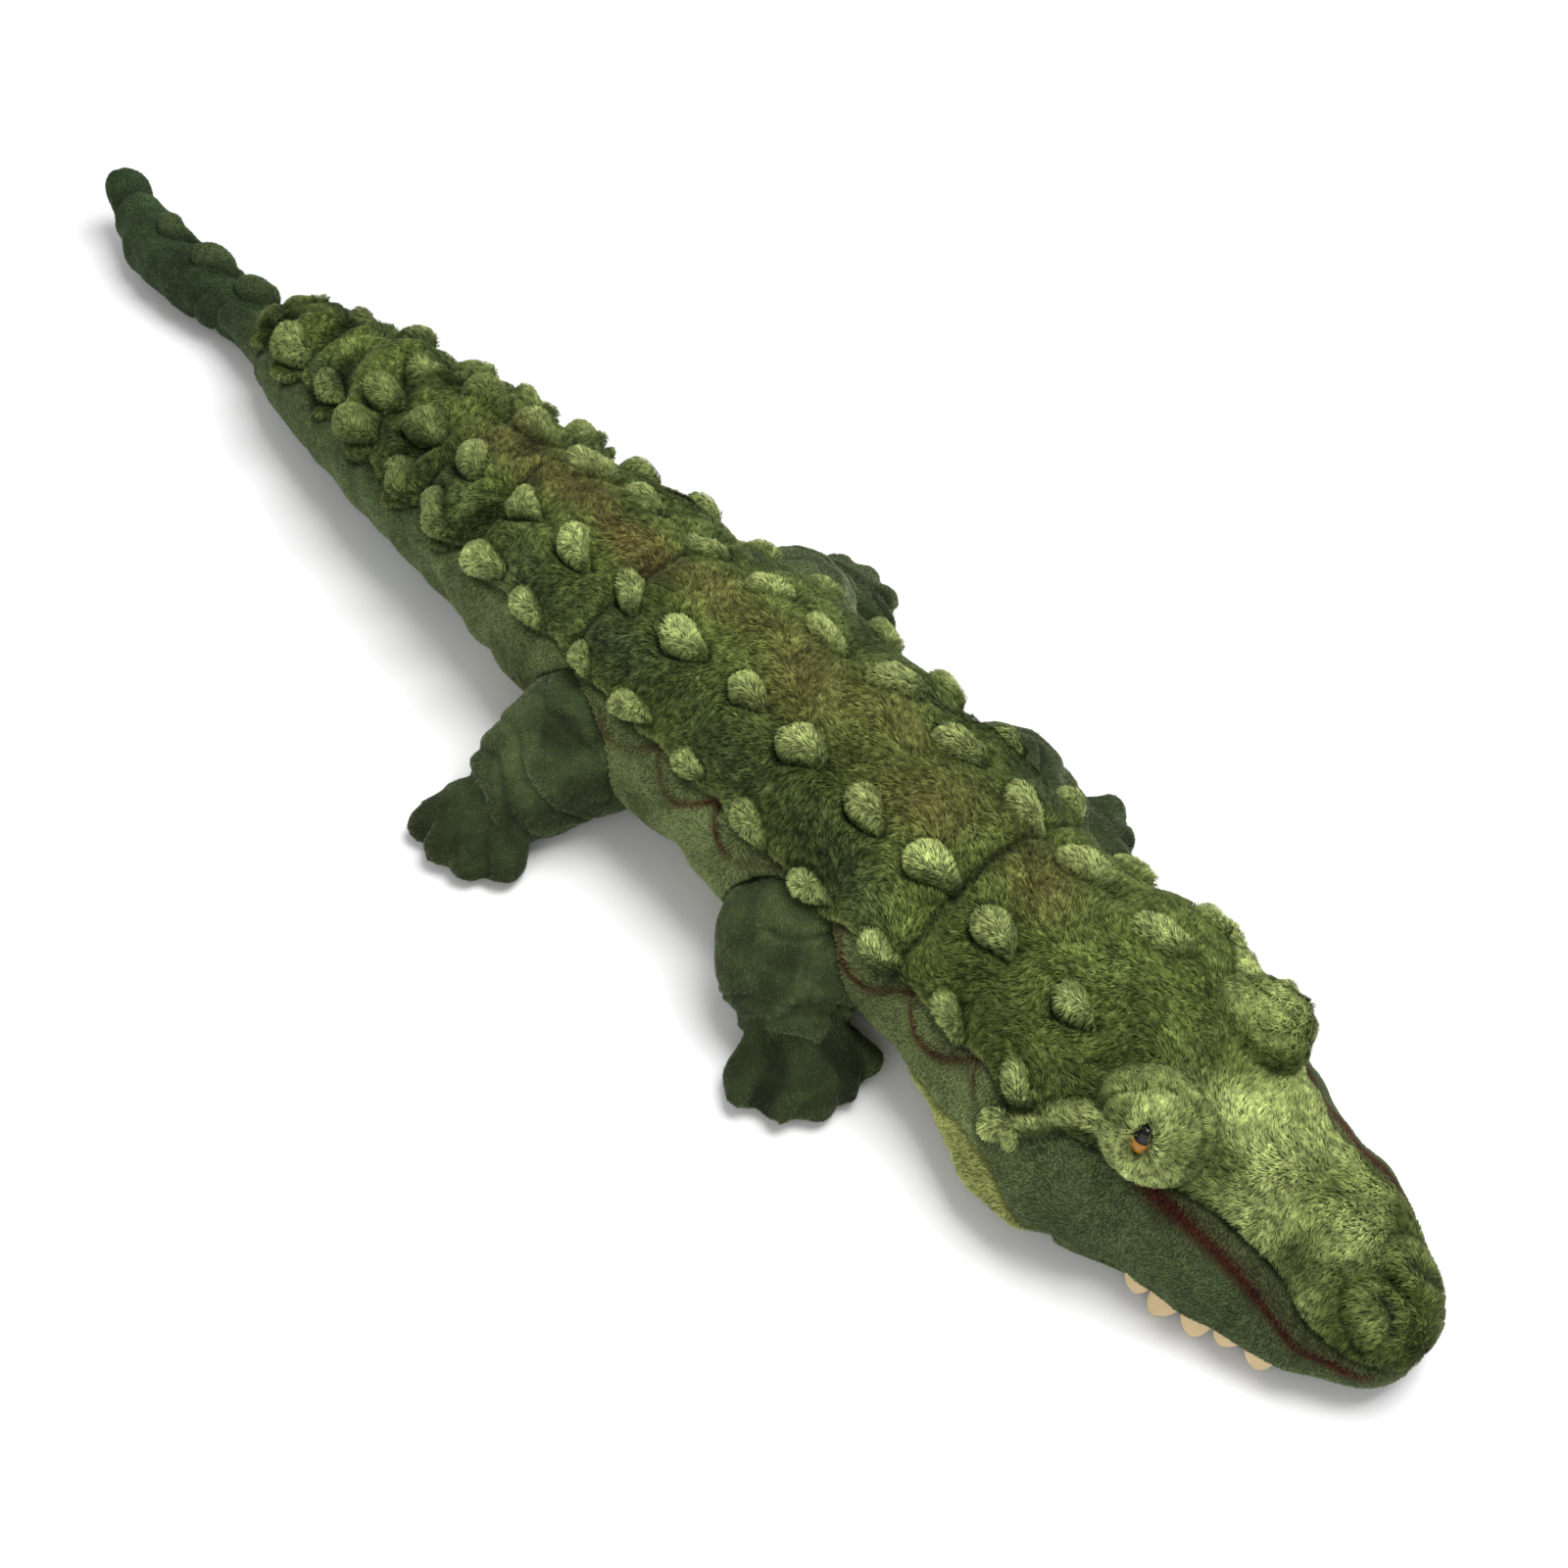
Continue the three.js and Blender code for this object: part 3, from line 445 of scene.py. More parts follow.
def wave(x: Array) -> Array:
    """The back panel's scallops: 1 at each outer scute and 0 between two, (1 + cos) / 2 over the pitch."""
    return 0.5 + 0.5 * np.cos(2 * math.pi * (x - OUTER_START) / SCUTE_PITCH)


@dataclass(frozen=True)
class Groove:
    """A sewn or pressed groove.

    Attributes:
        depth: How far the skin sinks in its middle.
        width: Where the depth has fallen to 0.37 of that.
        dark: The strength of the painted shade along it.
        line: Where the mark has fallen to 0.37 of that.
    """

    depth: float
    width: float
    dark: float
    line: float


EDGE_SEAM = Groove(2.4, 2.2, 0.8, 1.6)
BELLY_SEAM = Groove(1.6, 2.0, 0.5, 1.4)
DART = Groove(4.6, 4.2, 0.9, 2.0)
ROW_SEAM = Groove(1.2, 1.5, 0.55, 1.6)
NOSTRIL_SLIT = Groove(3.6, 1.9, 1.0, 1.9)
ANKLE_FOLD = Groove(2.2, 3.6, 0.5, 2.2)
HIP_SEAM = Groove(1.3, 1.6, 0.4, 1.0)


@dataclass
class Skin:
    """The body's skin at a grid of places, while it is worked out.

    Attributes:
        x: Places along the body.
        angle: Angles from the top.
        base: Places on the form, three numbers each.
        half: The form's half width.
        girth: The form's mean radius over its waist.
        edge: The angle of the back panel's edge between two scallops.
        border: The angle of its edge with the scallops.
        outside: The distance outside that edge, round the body.
        seam: The angle of the belly's seam.
        on_back: 1 where there is a back panel, falling to 0 at the tail's tip.
        scalloped: 1 where its edge has scallops.
        tail: 0 on the torso and 1 past the rump.
        back: The share of back panel.
        belly: The share of belly panel.
        lift: How far the skin stands off the form.
        crease: The mark of painted shade in creases, seams, folds and hollows.
        deep: The mark of painted shade in a band of the back, and of a deeper green.
        peak: The mark of pale tops.
        fall: The pile's fall, a share along x and one round the body.
    """

    x: Array
    angle: Array
    base: Array
    half: Array
    girth: Array
    edge: Array
    border: Array
    outside: Array
    seam: Array
    on_back: Array
    scalloped: Array
    tail: Array
    back: Array
    belly: Array = field(init=False)
    lift: Array = field(init=False)
    crease: Array = field(init=False)
    deep: Array = field(init=False)
    peak: Array = field(init=False)
    fall: Array = field(init=False)

    def darken(self, crease: Array) -> None:
        """Raises the mark of painted shade where this one is stronger."""
        self.crease = np.maximum(self.crease, crease)

    def deepen(self, deep: Array) -> None:
        """Raises the mark of painted shade and deeper green where this one is stronger."""
        self.deep = np.maximum(self.deep, deep)


@dataclass
class Hide:
    """The body's skin: how far it stands off its form, its marks and its pile's fall.

    Attributes:
        form: The body's form.
        scutes: The tufts of the back.
        scallop: How far the back panel's edge swings out at each outer scute.
        proud: How far the back panel stands over the flanks.
        darts: The transverse seams of the back: x at the spine, and how far x moves for each mm of y.
        crown: How far the back swells between two darts.
        swell: How far the flanks swell between two seams.
    """

    form: Form
    scutes: list[Scute]
    scallop: float = 5.0
    proud: float = 2.4
    darts: tuple[tuple[float, float], ...] = (
        (124, 0),
        (-86, 0),
        (-177, 0.1),
        (-218, 0.08),
        (-286, 0.7),
        (-334, 0.5),
    )
    crown: float = 2.6
    swell: float = 1.6

    def work_out(self, x: Array, angle: Array) -> tuple[Array, Marks, Array]:
        """The skin's lift off the form, its marks, and the fall of its pile.

        Args:
            x: Places along the body.
            angle: Angles from the top.

        Returns:
            The lift; the marks by name, each from 0 to 1; and the fall as a share along x and one round the
            body.
        """
        skin = self._lay(x, angle)
        self._seams(skin)
        self._darts(skin)
        self._rows(skin)
        self._shade(skin)
        self._gather(skin)
        self._comb(skin)
        for scute in self.scutes:
            self._tuft(skin, scute)
        self._bulge(skin)
        self._tail_end(skin)
        marks = {
            "back": skin.back,
            "belly": skin.belly,
            "crease": np.clip(skin.crease, 0, 1),
            "peak": np.clip(skin.peak, 0, 1),
            "deep": np.clip(skin.deep * (1 - skin.belly), 0, 1),
            "saddle": self._saddle(skin),
            "airbrush": self._airbrush(skin),
        }
        self._head(skin, marks)
        return skin.lift, marks, skin.fall

    def _lay(self, x: Array, angle: Array) -> Skin:
        """Lays the bare skin on the form, with the edge of its back panel.

        Args:
            x: Places along the body.
            angle: Angles from the top.

        Returns:
            The skin, without its lift and marks.
        """
        _, half, waist, top, _, edge, seam = self.form.read(x)
        girth = (half + np.maximum(top - waist, 8)) / 2
        on_back = ease(x, TAIL_TIP_X - 8, TAIL_TIP_X + 12)
        scalloped = on_back * ease(x, 236, 205)
        tail = ease(x, -140, -185)
        border = edge + self.scallop * (1 + 1.3 * tail) / girth * wave(x) * scalloped
        outside = (np.abs(angle) - border) * girth
        return Skin(
            x=x,
            angle=angle,
            base=self.form.place(x, angle, 0),
            half=half,
            girth=girth,
            edge=edge,
            border=border,
            outside=outside,
            seam=seam - 0.3 * bell(x - 200, 38),
            on_back=on_back,
            scalloped=scalloped,
            tail=tail,
            back=ease(outside, 0.9, -0.9) * on_back,
        )

    def _seams(self, skin: Skin) -> None:
        """Sews the back panel and the belly panel to the flanks, which swell between the two seams, and
        paints shade along both seams.

        Args:
            skin: The skin, which is changed.
        """
        x, z, outside = skin.x, skin.base[..., 2], skin.outside
        skin.lift = self.proud * (1 + 0.7 * skin.tail) * skin.back
        skin.lift = skin.lift - EDGE_SEAM.depth * bell(outside - 1.2, EDGE_SEAM.width) * skin.on_back
        line = EDGE_SEAM.line + 1.2 * skin.tail
        # Painted shade under the back panel's proud edge, along its seam
        skin.crease = (EDGE_SEAM.dark + 0.2 * skin.tail) * bell(outside - 1.0, line) * skin.on_back

        below = (np.abs(skin.angle) - skin.seam) * skin.half
        throat = ease(x, -RUMP_REACH - 20, -RUMP_REACH + 10) * ease(x, MOUTH_X + 2, MOUTH_X - 8)
        skin.belly = ease(below, -0.9, 0.9) * throat
        skin.lift -= BELLY_SEAM.depth * bell(below, BELLY_SEAM.width) * throat * ease(z, 2, 8)
        skin.darken(BELLY_SEAM.dark * bell(below, BELLY_SEAM.line) * throat)

        share = np.clip(outside / np.maximum((skin.seam - skin.border) * skin.girth, 1), 0, 1)
        skin.lift += self.swell * np.sin(math.pi * share) * (1 - skin.back) * ease(z, 4, 20)

    def _darts(self, skin: Skin) -> None:
        """Sinks the transverse seams into the back, which swells between them, and paints shade in the seams.

        Args:
            skin: The skin, which is changed.
        """
        across = np.abs(skin.base[..., 1])
        nearest = np.full(skin.x.shape, np.inf)
        for place, tilt in self.darts:
            nearest = np.minimum(nearest, np.abs(skin.x - place - tilt * across))
        past = np.abs(skin.angle) - skin.border
        reach = ease(past, 0.22, 0.0)
        skin.lift -= DART.depth * (1 + 0.5 * skin.tail) * bell(nearest, DART.width) * reach * skin.on_back
        within = ease(past, 0.1, -0.7)
        skin.lift += self.crown * ease(nearest, 2, 40) * within * skin.on_back * ease(skin.x, 215, 150)
        skin.darken(DART.dark * bell(nearest, DART.line) * reach * skin.on_back)

    def _rows(self, skin: Skin) -> None:
        """Sinks a wide hollow and a thin seam along each inner row of scutes, with painted shade in the seam.

        Args:
            skin: The skin, which is changed.
        """
        x, base = skin.x, skin.base
        here = skin.on_back * ease(x, INNER_REACH - 10, INNER_REACH + 10) * ease(x, 215, 200)
        row = (np.abs(skin.angle) - INNER_SHARE * skin.edge) * skin.girth
        row = row + 2.0 * ripples(base, 40, 17)
        skin.lift -= (1.6 * bell(row, 8.0) + ROW_SEAM.depth * bell(row, ROW_SEAM.width)) * here
        patchy = 0.6 + 0.4 * ripples(base, 25, 18)
        skin.darken(ROW_SEAM.dark * bell(row, ROW_SEAM.line) * here * patchy)

    def _shade(self, skin: Skin) -> None:
        """Paints shade in a band inside the back panel's edge, and a deeper green on the tail's tip and
        flanks and on the cheeks.

        Args:
            skin: The skin, which is changed.
        """
        x, edge, bare = skin.x, skin.edge, 1 - skin.back
        band = bell((np.abs(skin.angle) - 0.7 * edge) / np.maximum(edge, 0.2), 0.24)
        band = band * skin.on_back * ease(x, 240, 200)
        skin.deep = 0.6 * band * np.clip(0.8 + 0.5 * ripples(skin.base, 60, 16), 0, 1.3)
        skin.darken(0.45 * skin.deep)
        skin.deepen(0.9 * ease(x, TAIL_TIP_X + 18, TAIL_TIP_X - 22))
        skin.deepen(0.55 * ease(x, 180, 226) * bare)
        skin.deepen(0.45 * ease(x, -120, -230) * bare)

    def _gather(self, skin: Skin) -> None:
        """Gathers the back panel in loose folds, which are deeper on the tail, with painted shade in their
        hollows.

        Args:
            skin: The skin, which is changed.
        """
        folds = ripples(skin.base * (1.3, 1, 0.7), 32, 15)
        skin.lift += (0.8 + 2.4 * skin.tail) * folds * skin.back
        skin.darken((0.35 + 0.45 * skin.tail) * ease(folds, -0.35, -1.0) * skin.back)

    def _comb(self, skin: Skin) -> None:
        """Lays the pile towards the tail and outwards, turned to and fro, and pales the scallops' edges.

        Args:
            skin: The skin, which is changed.
        """
        base, angle, bare = skin.base, skin.angle, 1 - skin.back
        turn = 0.95 * ripples(base, 95, 11) + 0.6 * ripples(base, 36, 12)
        out = np.sign(angle) * (0.35 * (1 - bell(angle, 0.2)) + 0.55 * bare)
        along = -1 + 0.45 * bare
        fall_x = along * np.cos(turn) - out * np.sin(turn)
        fall_round = along * np.sin(turn) + out * np.cos(turn)
        skin.fall = np.stack([fall_x, fall_round], -1)
        skin.peak = 0.5 * bell(skin.outside + 1.6, 1.9) * skin.scalloped

    def _tuft(self, skin: Skin, scute: Scute) -> None:
        """Pinches up one scute: a drop, round towards the tail and pointed towards the head.

        With u along it from -1 to 1, w the place where it is widest and q the share of the way past that, the
        half width is the root of 1 - ((u + w) / (1 - w))^2 on the tail's side and (1 - q)^0.9 (1 + 0.35 q) on
        the head's. The height is that of a cushion across the width, with a fold round its edge that holds
        painted shade, strongest on the side away from the spine, and the pile falls outwards. Scutes are less
        pale past the rump, and hardly pale on the tail's tip.

        Args:
            skin: The skin, which is changed.
            scute: The scute.
        """
        near = np.abs(skin.x - scute.x) < 2.2 * SCUTE_HALF[0]
        if not near.any():
            return
        along = (skin.x[near] - scute.x) / scute.size
        across = (skin.angle[near] - scute.angle) * skin.girth[near] / scute.size
        u = (along * math.cos(scute.turn) + across * math.sin(scute.turn)) / SCUTE_HALF[0]
        v = (across * math.cos(scute.turn) - along * math.sin(scute.turn)) / SCUTE_HALF[1]
        v += 0.14 * np.sin(2.2 * u + scute.x)
        widest = 0.3
        q = np.clip((u + widest) / (1 + widest), 0, 1)
        behind = np.sqrt(np.clip(1 - ((u + widest) / (1 - widest)) ** 2, 0, 1))
        width = np.where(u < -widest, behind, (1 - q) ** 0.9 * (1 + 0.35 * q)) + 1e-3
        inside = np.clip(1 - (v / width) ** 2, 0, 1)
        height = width**0.6 * inside**0.55
        edge = np.abs(v) - width
        past = np.clip(np.abs(u + 0.05) - 0.95, 0, 1)
        fold = bell(np.hypot(np.maximum(edge, 0) - 0.2, 1.2 * past), 0.3)
        fold *= 0.25 + 0.75 * ease(v * math.copysign(1, scute.angle) + 0.4 * u, -0.5, 0.4)
        skin.lift[near] += SCUTE_HALF[2] * scute.size * height - SCUTE_FOLD * fold * (height < 0.3)
        bare = np.clip(1 - height, 0, 1)
        skin.crease[near] = np.maximum(skin.crease[near] * bare, fold * bare**0.7)
        pale = 1 - 0.45 * float(ease(np.array(scute.x), -150, -260)) if scute.x > TAIL_TIP_X else 0.12
        skin.peak[near] = np.maximum(skin.peak[near] * (1 - 0.5 * fold), height**0.7 * pale)
        weight = 2.4 * np.clip(height, 0, 1)
        skin.fall[near, 0] += weight * (u - 0.35)
        skin.fall[near, 1] += weight * v

    def _bulge(self, skin: Skin) -> None:
        """Fills the jowls, draws in the sides of the snout, and makes the stuffing uneven.

        Args:
            skin: The skin, which is changed.
        """
        x, base, turn = skin.x, skin.base, np.abs(skin.angle)
        jowl = bell(x - 188, 30) * bell(np.degrees(turn) - 106, 26)
        skin.lift += 8.5 * jowl - 3.5 * bell(x - 258, 34) * ease(turn, 1.3, 1.6)
        uneven = ripples(base, 64, 3) * 1.3 + ripples(base * (1, 1, 0.6), 24, 4) * 0.7
        uneven += ripples(base * (2.4, 1, 1), 40, 5) * 0.7 * (1 - skin.back)
        skin.lift += uneven * ease(base[..., 2], 3, 14) * ease(x, SNOUT_X, SNOUT_X - 30)

    def _tail_end(self, skin: Skin) -> None:
        """Thickens the tail's last end behind a notch with painted shade in it, and takes two tucks in the
        tip's sides.

        Args:
            skin: The skin, which is changed.
        """
        x, angle = skin.x, skin.angle
        notch = bell(x - TAIL_END_X - 25, 4.5) * ease(np.cos(angle), -0.3, 0.5)
        from_tip = x - TAIL_TIP_X
        tucks = bell(from_tip + 30 - 9 * angle, 2.6) + bell(from_tip + 46 - 9 * angle, 2.2)
        knob = 1.4 * ease(x, TAIL_END_X + 24, TAIL_END_X + 10)
        skin.lift += knob - 3.4 * notch - 2.2 * tucks * ease(np.abs(angle), 0.4, 0.9)
        skin.darken(0.5 * notch)

    def _saddle(self, skin: Skin) -> Array:
        """The brown breath of dye along the spine, strongest over the tail's root.

        Args:
            skin: The skin.

        Returns:
            The mark from 0 to 1.
        """
        x, base = skin.x, skin.base
        width = 11 + 9 * ease(x, -120, 20)
        strength = 0.66 + 0.34 * ease(x, -60, -110)
        along = ease(x, -250, -205) * ease(x, 186, 140)
        uneven = 0.8 + 0.4 * ripples(base, 38, 7)
        spine = bell(base[..., 1] + 3 * ripples(base, 70, 8), width)
        return np.clip(spine * strength * along * uneven * skin.back, 0, 1)

    def _airbrush(self, skin: Skin) -> Array:
        """The maroon airbrushed lines: a zigzag down each flank and a stripe along each side of the snout.

        Args:
            skin: The skin.

        Returns:
            The mark from 0 to 1.
        """
        x, base, outside = skin.x, skin.base, skin.outside
        phase = ((x - OUTER_START) / SCUTE_PITCH - 0.5) % 1
        zigzag = 2.5 + 11 * np.sin(math.pi * phase**0.62)
        flank = bell(outside - zigzag, 1.7) * ease(x, -62, -48) * ease(x, 190, 176) * 0.95
        flank *= np.clip(0.75 + 0.4 * ripples(base, 30, 9), 0, 1)
        breath = 0.22 * bell(outside - zigzag, 5) * ease(x, -190, -60) * ease(x, 200, 170)
        off = 3.5 + 9.5 * np.sin(math.pi * np.clip((x - 246) / 116, 0, 1)) ** 0.8
        wide = 3.4 - 1.5 * ease(x, 255, 340) + 0.5 * ripples(base, 30, 10)
        stripe = bell(outside - off, wide)
        stripe *= ease(x, 236, 256) * ease(x, SNOUT_X + 2, SNOUT_X - 14) * 0.92
        breath_snout = 0.3 * bell(outside - 8, 8) * ease(x, 246, 268) * ease(x, SNOUT_X, SNOUT_X - 20)
        return np.clip(flank + breath + stripe + breath_snout, 0, 1) * (1 - skin.back)

    def _head(self, skin: Skin, marks: Marks) -> None:
        """Adds the head's own forms: the ridges from eye to ear, the nostrils, and the snout's puckers.

        Args:
            skin: The skin, which is changed.
            marks: The marks, which are changed.
        """
        if skin.x.max() < SHOULDER_REACH:
            return
        for points in (skin.base, skin.base * (1, -1, 1)):
            self._ridge(points, skin, marks)
            self._nostril(points, skin, marks)
        snout = ease(skin.x, 222, 250) * marks["back"]
        snout *= ease(skin.x, 346, 318)
        pale = np.clip(0.6 + 0.34 * ripples(skin.base, 34, 13), 0, 0.95)
        marks["peak"] = np.maximum(marks["peak"], snout * pale)
        pucker = ripples(skin.base * (1.6, 0.8, 1), 30, 14)
        skin.lift += 1.2 * pucker * snout

    def _ridge(self, points: Array, skin: Skin, marks: Marks) -> None:
        """Raises the padded ridge from the eye to the ear, with the shadow under it.

        Args:
            points: Places on the form, mirrored for the animal's right.
            skin: The skin, which is changed.
            marks: The marks, which are changed.
        """
        ridge = path_distance(points, RIDGE_PATH)
        skin.lift += 6.4 * bell(ridge, 2.9)
        marks["peak"] = np.maximum(marks["peak"], ease(ridge, 5.6, 3.0))
        marks["back"] = np.maximum(marks["back"], ease(ridge, 5.6, 4.4))
        marks["deep"] = marks["deep"] * (1 - marks["back"])
        shadow = 0.75 * bell(ridge - 6.8, 1.7) * ease(points[..., 1], 30, 44)
        marks["crease"] = np.maximum(marks["crease"] * ease(ridge, 2, 5), shadow)

    def _nostril(self, points: Array, skin: Skin, marks: Marks) -> None:
        """Raises a nostril's lobe, with a moat round it and a slit in it, painted shade in both, and a
        painted highlight on the lobe.

        Args:
            points: Places on the form, mirrored for the animal's right.
            skin: The skin, which is changed.
            marks: The marks, which are changed.
        """
        lobe = np.hypot((points[..., 0] - 342) / 11, (points[..., 1] - 12) / 10)
        high = ease(points[..., 2], 22, 30)
        moat = bell(lobe - 1.2, 0.16)
        skin.lift += (3.8 * ease(lobe, 1.15, 0.35) - 1.6 * moat) * high
        slit = path_distance(points * (1, 1, 0), SLIT_PATH)
        skin.lift -= NOSTRIL_SLIT.depth * bell(slit, NOSTRIL_SLIT.width) * high
        dark = np.maximum(NOSTRIL_SLIT.dark * bell(slit, NOSTRIL_SLIT.line), 0.6 * moat)
        marks["crease"] = np.maximum(marks["crease"], dark * high)
        marks["back"] = marks["back"] * (1 - ease(slit, 2.4, 1.2) * high)
        # A painted highlight pales the lobe, except in the slit
        pale = np.maximum(marks["peak"], 0.45 * ease(lobe, 1.1, 0.5) * high)
        marks["peak"] = pale * (1 - bell(slit, 2.2) * high)


# The marks that a skin's vertices carry into its material
MARKS = ("back", "belly", "crease", "peak", "saddle", "airbrush", "deep")


def put(name: str, data: bpy.types.ID) -> bpy.types.Object:
    """A new object in the scene.

    Args:
        name: Its name.
        data: Its mesh, light or camera.

    Returns:
        The object.
    """
    item = bpy.data.objects.new(name, data)
    bpy.context.scene.collection.objects.link(item)
    return item


def make_mesh(
    name: str, points: Array, faces: list[Array], marks: Marks, normals: Array | None = None
) -> bpy.types.Object:
    """A mesh object at the origin from places in millimetres.

    Args:
        name: The object's name.
        points: Places, three numbers each.
        faces: Arrays of corners, one array for each number of sides.
        marks: Values for each vertex by name.
        normals: The vertices' own normals, if they aren't to follow the faces.

    Returns:
        The object, in the scene.
    """
    mesh = bpy.data.meshes.new(name)
    mesh.vertices.add(len(points))
    mesh.vertices.foreach_set("co", (points * MM).astype(np.float32).ravel())
    corners = np.concatenate([f.ravel() for f in faces]).astype(np.int32)
    sides = np.concatenate([np.full(len(f), f.shape[1], np.int32) for f in faces])
    mesh.loops.add(len(corners))
    mesh.loops.foreach_set("vertex_index", corners)
    mesh.polygons.add(len(sides))
    mesh.polygons.foreach_set("loop_start", np.concatenate([[0], np.cumsum(sides)[:-1]]).astype(np.int32))
    mesh.update(calc_edges=True)
    mesh.polygons.foreach_set("use_smooth", np.ones(len(sides), bool))
    for mark, values in marks.items():
        attribute = mesh.attributes.new(mark, "FLOAT", "POINT")
        attribute.data.foreach_set("value", values.astype(np.float32).ravel())
    if normals is not None:
        mesh.normals_split_custom_set_from_vertices(normals.astype(np.float32))
    return put(name, mesh)


@dataclass
class Shell:
    """A closed skin before it is a mesh.

    Attributes:
        points: Places in millimetres, three numbers each.
        faces: Arrays of corners, one array for each number of sides.
        marks: Values for each vertex by name.
        fall: The pile's direction at each vertex.
        cover: How much pile grows at each vertex, from 0 to 1.
    """

    points: Array
    faces: list[Array]
    marks: Marks
    fall: Array
    cover: Array

    def triangles(self) -> Array:
        """The faces cut into triangles.

        Returns:
            Rows of three corners.
        """
        cut = []
        for faces in self.faces:
            cut.append(faces[:, [0, 1, 2]])
            if faces.shape[1] == 4:
                cut.append(faces[:, [0, 2, 3]])
        return np.concatenate(cut)

    def normals(self) -> Array:
        """The normal of each vertex: the sum of its triangles' cross products, at unit length.

        Returns:
            Rows of three numbers.
        """
        corners = self.triangles()
        a, b, c = (self.points[corners[:, k]] for k in range(3))
        cross = np.cross(b - a, c - a)
        total = np.zeros_like(self.points)
        for k in range(3):
            np.add.at(total, corners[:, k], cross)
        return unit(total)

    def make(self, name: str) -> bpy.types.Object:
        """The skin as a mesh object."""
        return make_mesh(name, self.points, self.faces, self.marks)


def loop_faces(rings: int, around: int) -> list[Array]:
    """The faces of rings of points joined in order and closed by a pole at each end.

    Args:
        rings: How many rings there are.
        around: How many points each has.

    Returns:
        The quads between rings, and the triangles at the poles, whose points follow the last ring's.
    """
    i, k = np.meshgrid(np.arange(rings - 1), np.arange(around), indexing="ij")
    nxt = (k + 1) % around
    ring, above = i * around, (i + 1) * around
    quads = np.stack([ring + k, ring + nxt, above + nxt, above + k], -1).reshape(-1, 4)
    k = np.arange(around)
    nxt = (k + 1) % around
    first, last = rings * around, rings * around + 1
    base = (rings - 1) * around
    start = np.stack([np.full(around, first), nxt, k], -1)
    end = np.stack([np.full(around, last), base + k, base + nxt], -1)
    return [quads, np.concatenate([start, end])]


def closed_loops(grid: Array, marks: Marks | None = None, fall: Array | None = None) -> Shell:
    """A closed shell through rings of points, with a pole in the middle of the first ring and of the last.

    Args:
        grid: Rings by points by three numbers.
        marks: Values by name, rings by points.
        fall: The pile's direction, rings by points by three numbers.

    Returns:
        The shell, turned to face out.
    """
    rings, around, _ = grid.shape

    def with_poles(values: Array) -> Array:
        """Values in order of vertex, then each end ring's mean for its pole."""
        flat = values.reshape(rings * around, *values.shape[2:])
        return np.concatenate([flat, values[:1].mean(1), values[-1:].mean(1)])

    points = with_poles(grid)
    faces = loop_faces(rings, around)
    poled = {mark: with_poles(values) for mark, values in (marks or {}).items()}
    fallen = points * 0 if fall is None else with_poles(fall)
    shell = Shell(points, faces, poled, fallen, np.ones(len(points)))
    corners = shell.triangles()
    a, b, c = (points[corners[:, k]] for k in range(3))
    if np.einsum("ij,ij->", a, np.cross(b, c)) < 0:
        shell.faces = [f[:, ::-1] for f in faces]
    return shell


def joined(shells: list[Shell]) -> tuple[Array, list[Array]]:
    """Closed shells as one set of places and faces.

    Args:
        shells: The shells, each with quads and then triangles.

    Returns:
        All places, and all quads and all triangles.
    """
    starts = np.cumsum([0] + [len(shell.points) for shell in shells[:-1]])
    faces = [
        np.concatenate([shell.faces[kind] + start for shell, start in zip(shells, starts)]) for kind in (0, 1)
    ]
    return np.concatenate([shell.points for shell in shells]), faces


@dataclass(frozen=True)
class Pile:
    """A pile of fibres, each a thin blade that leaves the skin, bends over half way and ends in a point.

    Attributes:
        length: A blade's length.
        width: Its width in the middle.
        density: Blades for each square millimetre.
        lie: How far the blades stand up from the skin, in degrees.
        stray: How unevenly single blades lie.
        flow: How unevenly whole locks lie.
        clump: The size of the locks that they gather into.
        pull: How far a blade's tip is drawn to its lock's middle, from 0 to 1.
    """

    length: float
    width: float
    density: float
    lie: float
    stray: float
    flow: float
    clump: float
    pull: float


LONG_PILE = Pile(3.1, 0.4, 2.7, 29, 0.2, 0.55, 1.4, 0.6)
SHORT_PILE = Pile(1.9, 0.4, 1.5, 13, 0.12, 0.22, 3.5, 0.1)
BELLY_PILE = Pile(2.6, 0.6, 1.1, 22, 0.25, 0.5, 3.5, 0.3)
MOUND_PILE = Pile(3.6, 0.42, 2.9, 31, 0.22, 0.6, 1.8, 0.5)


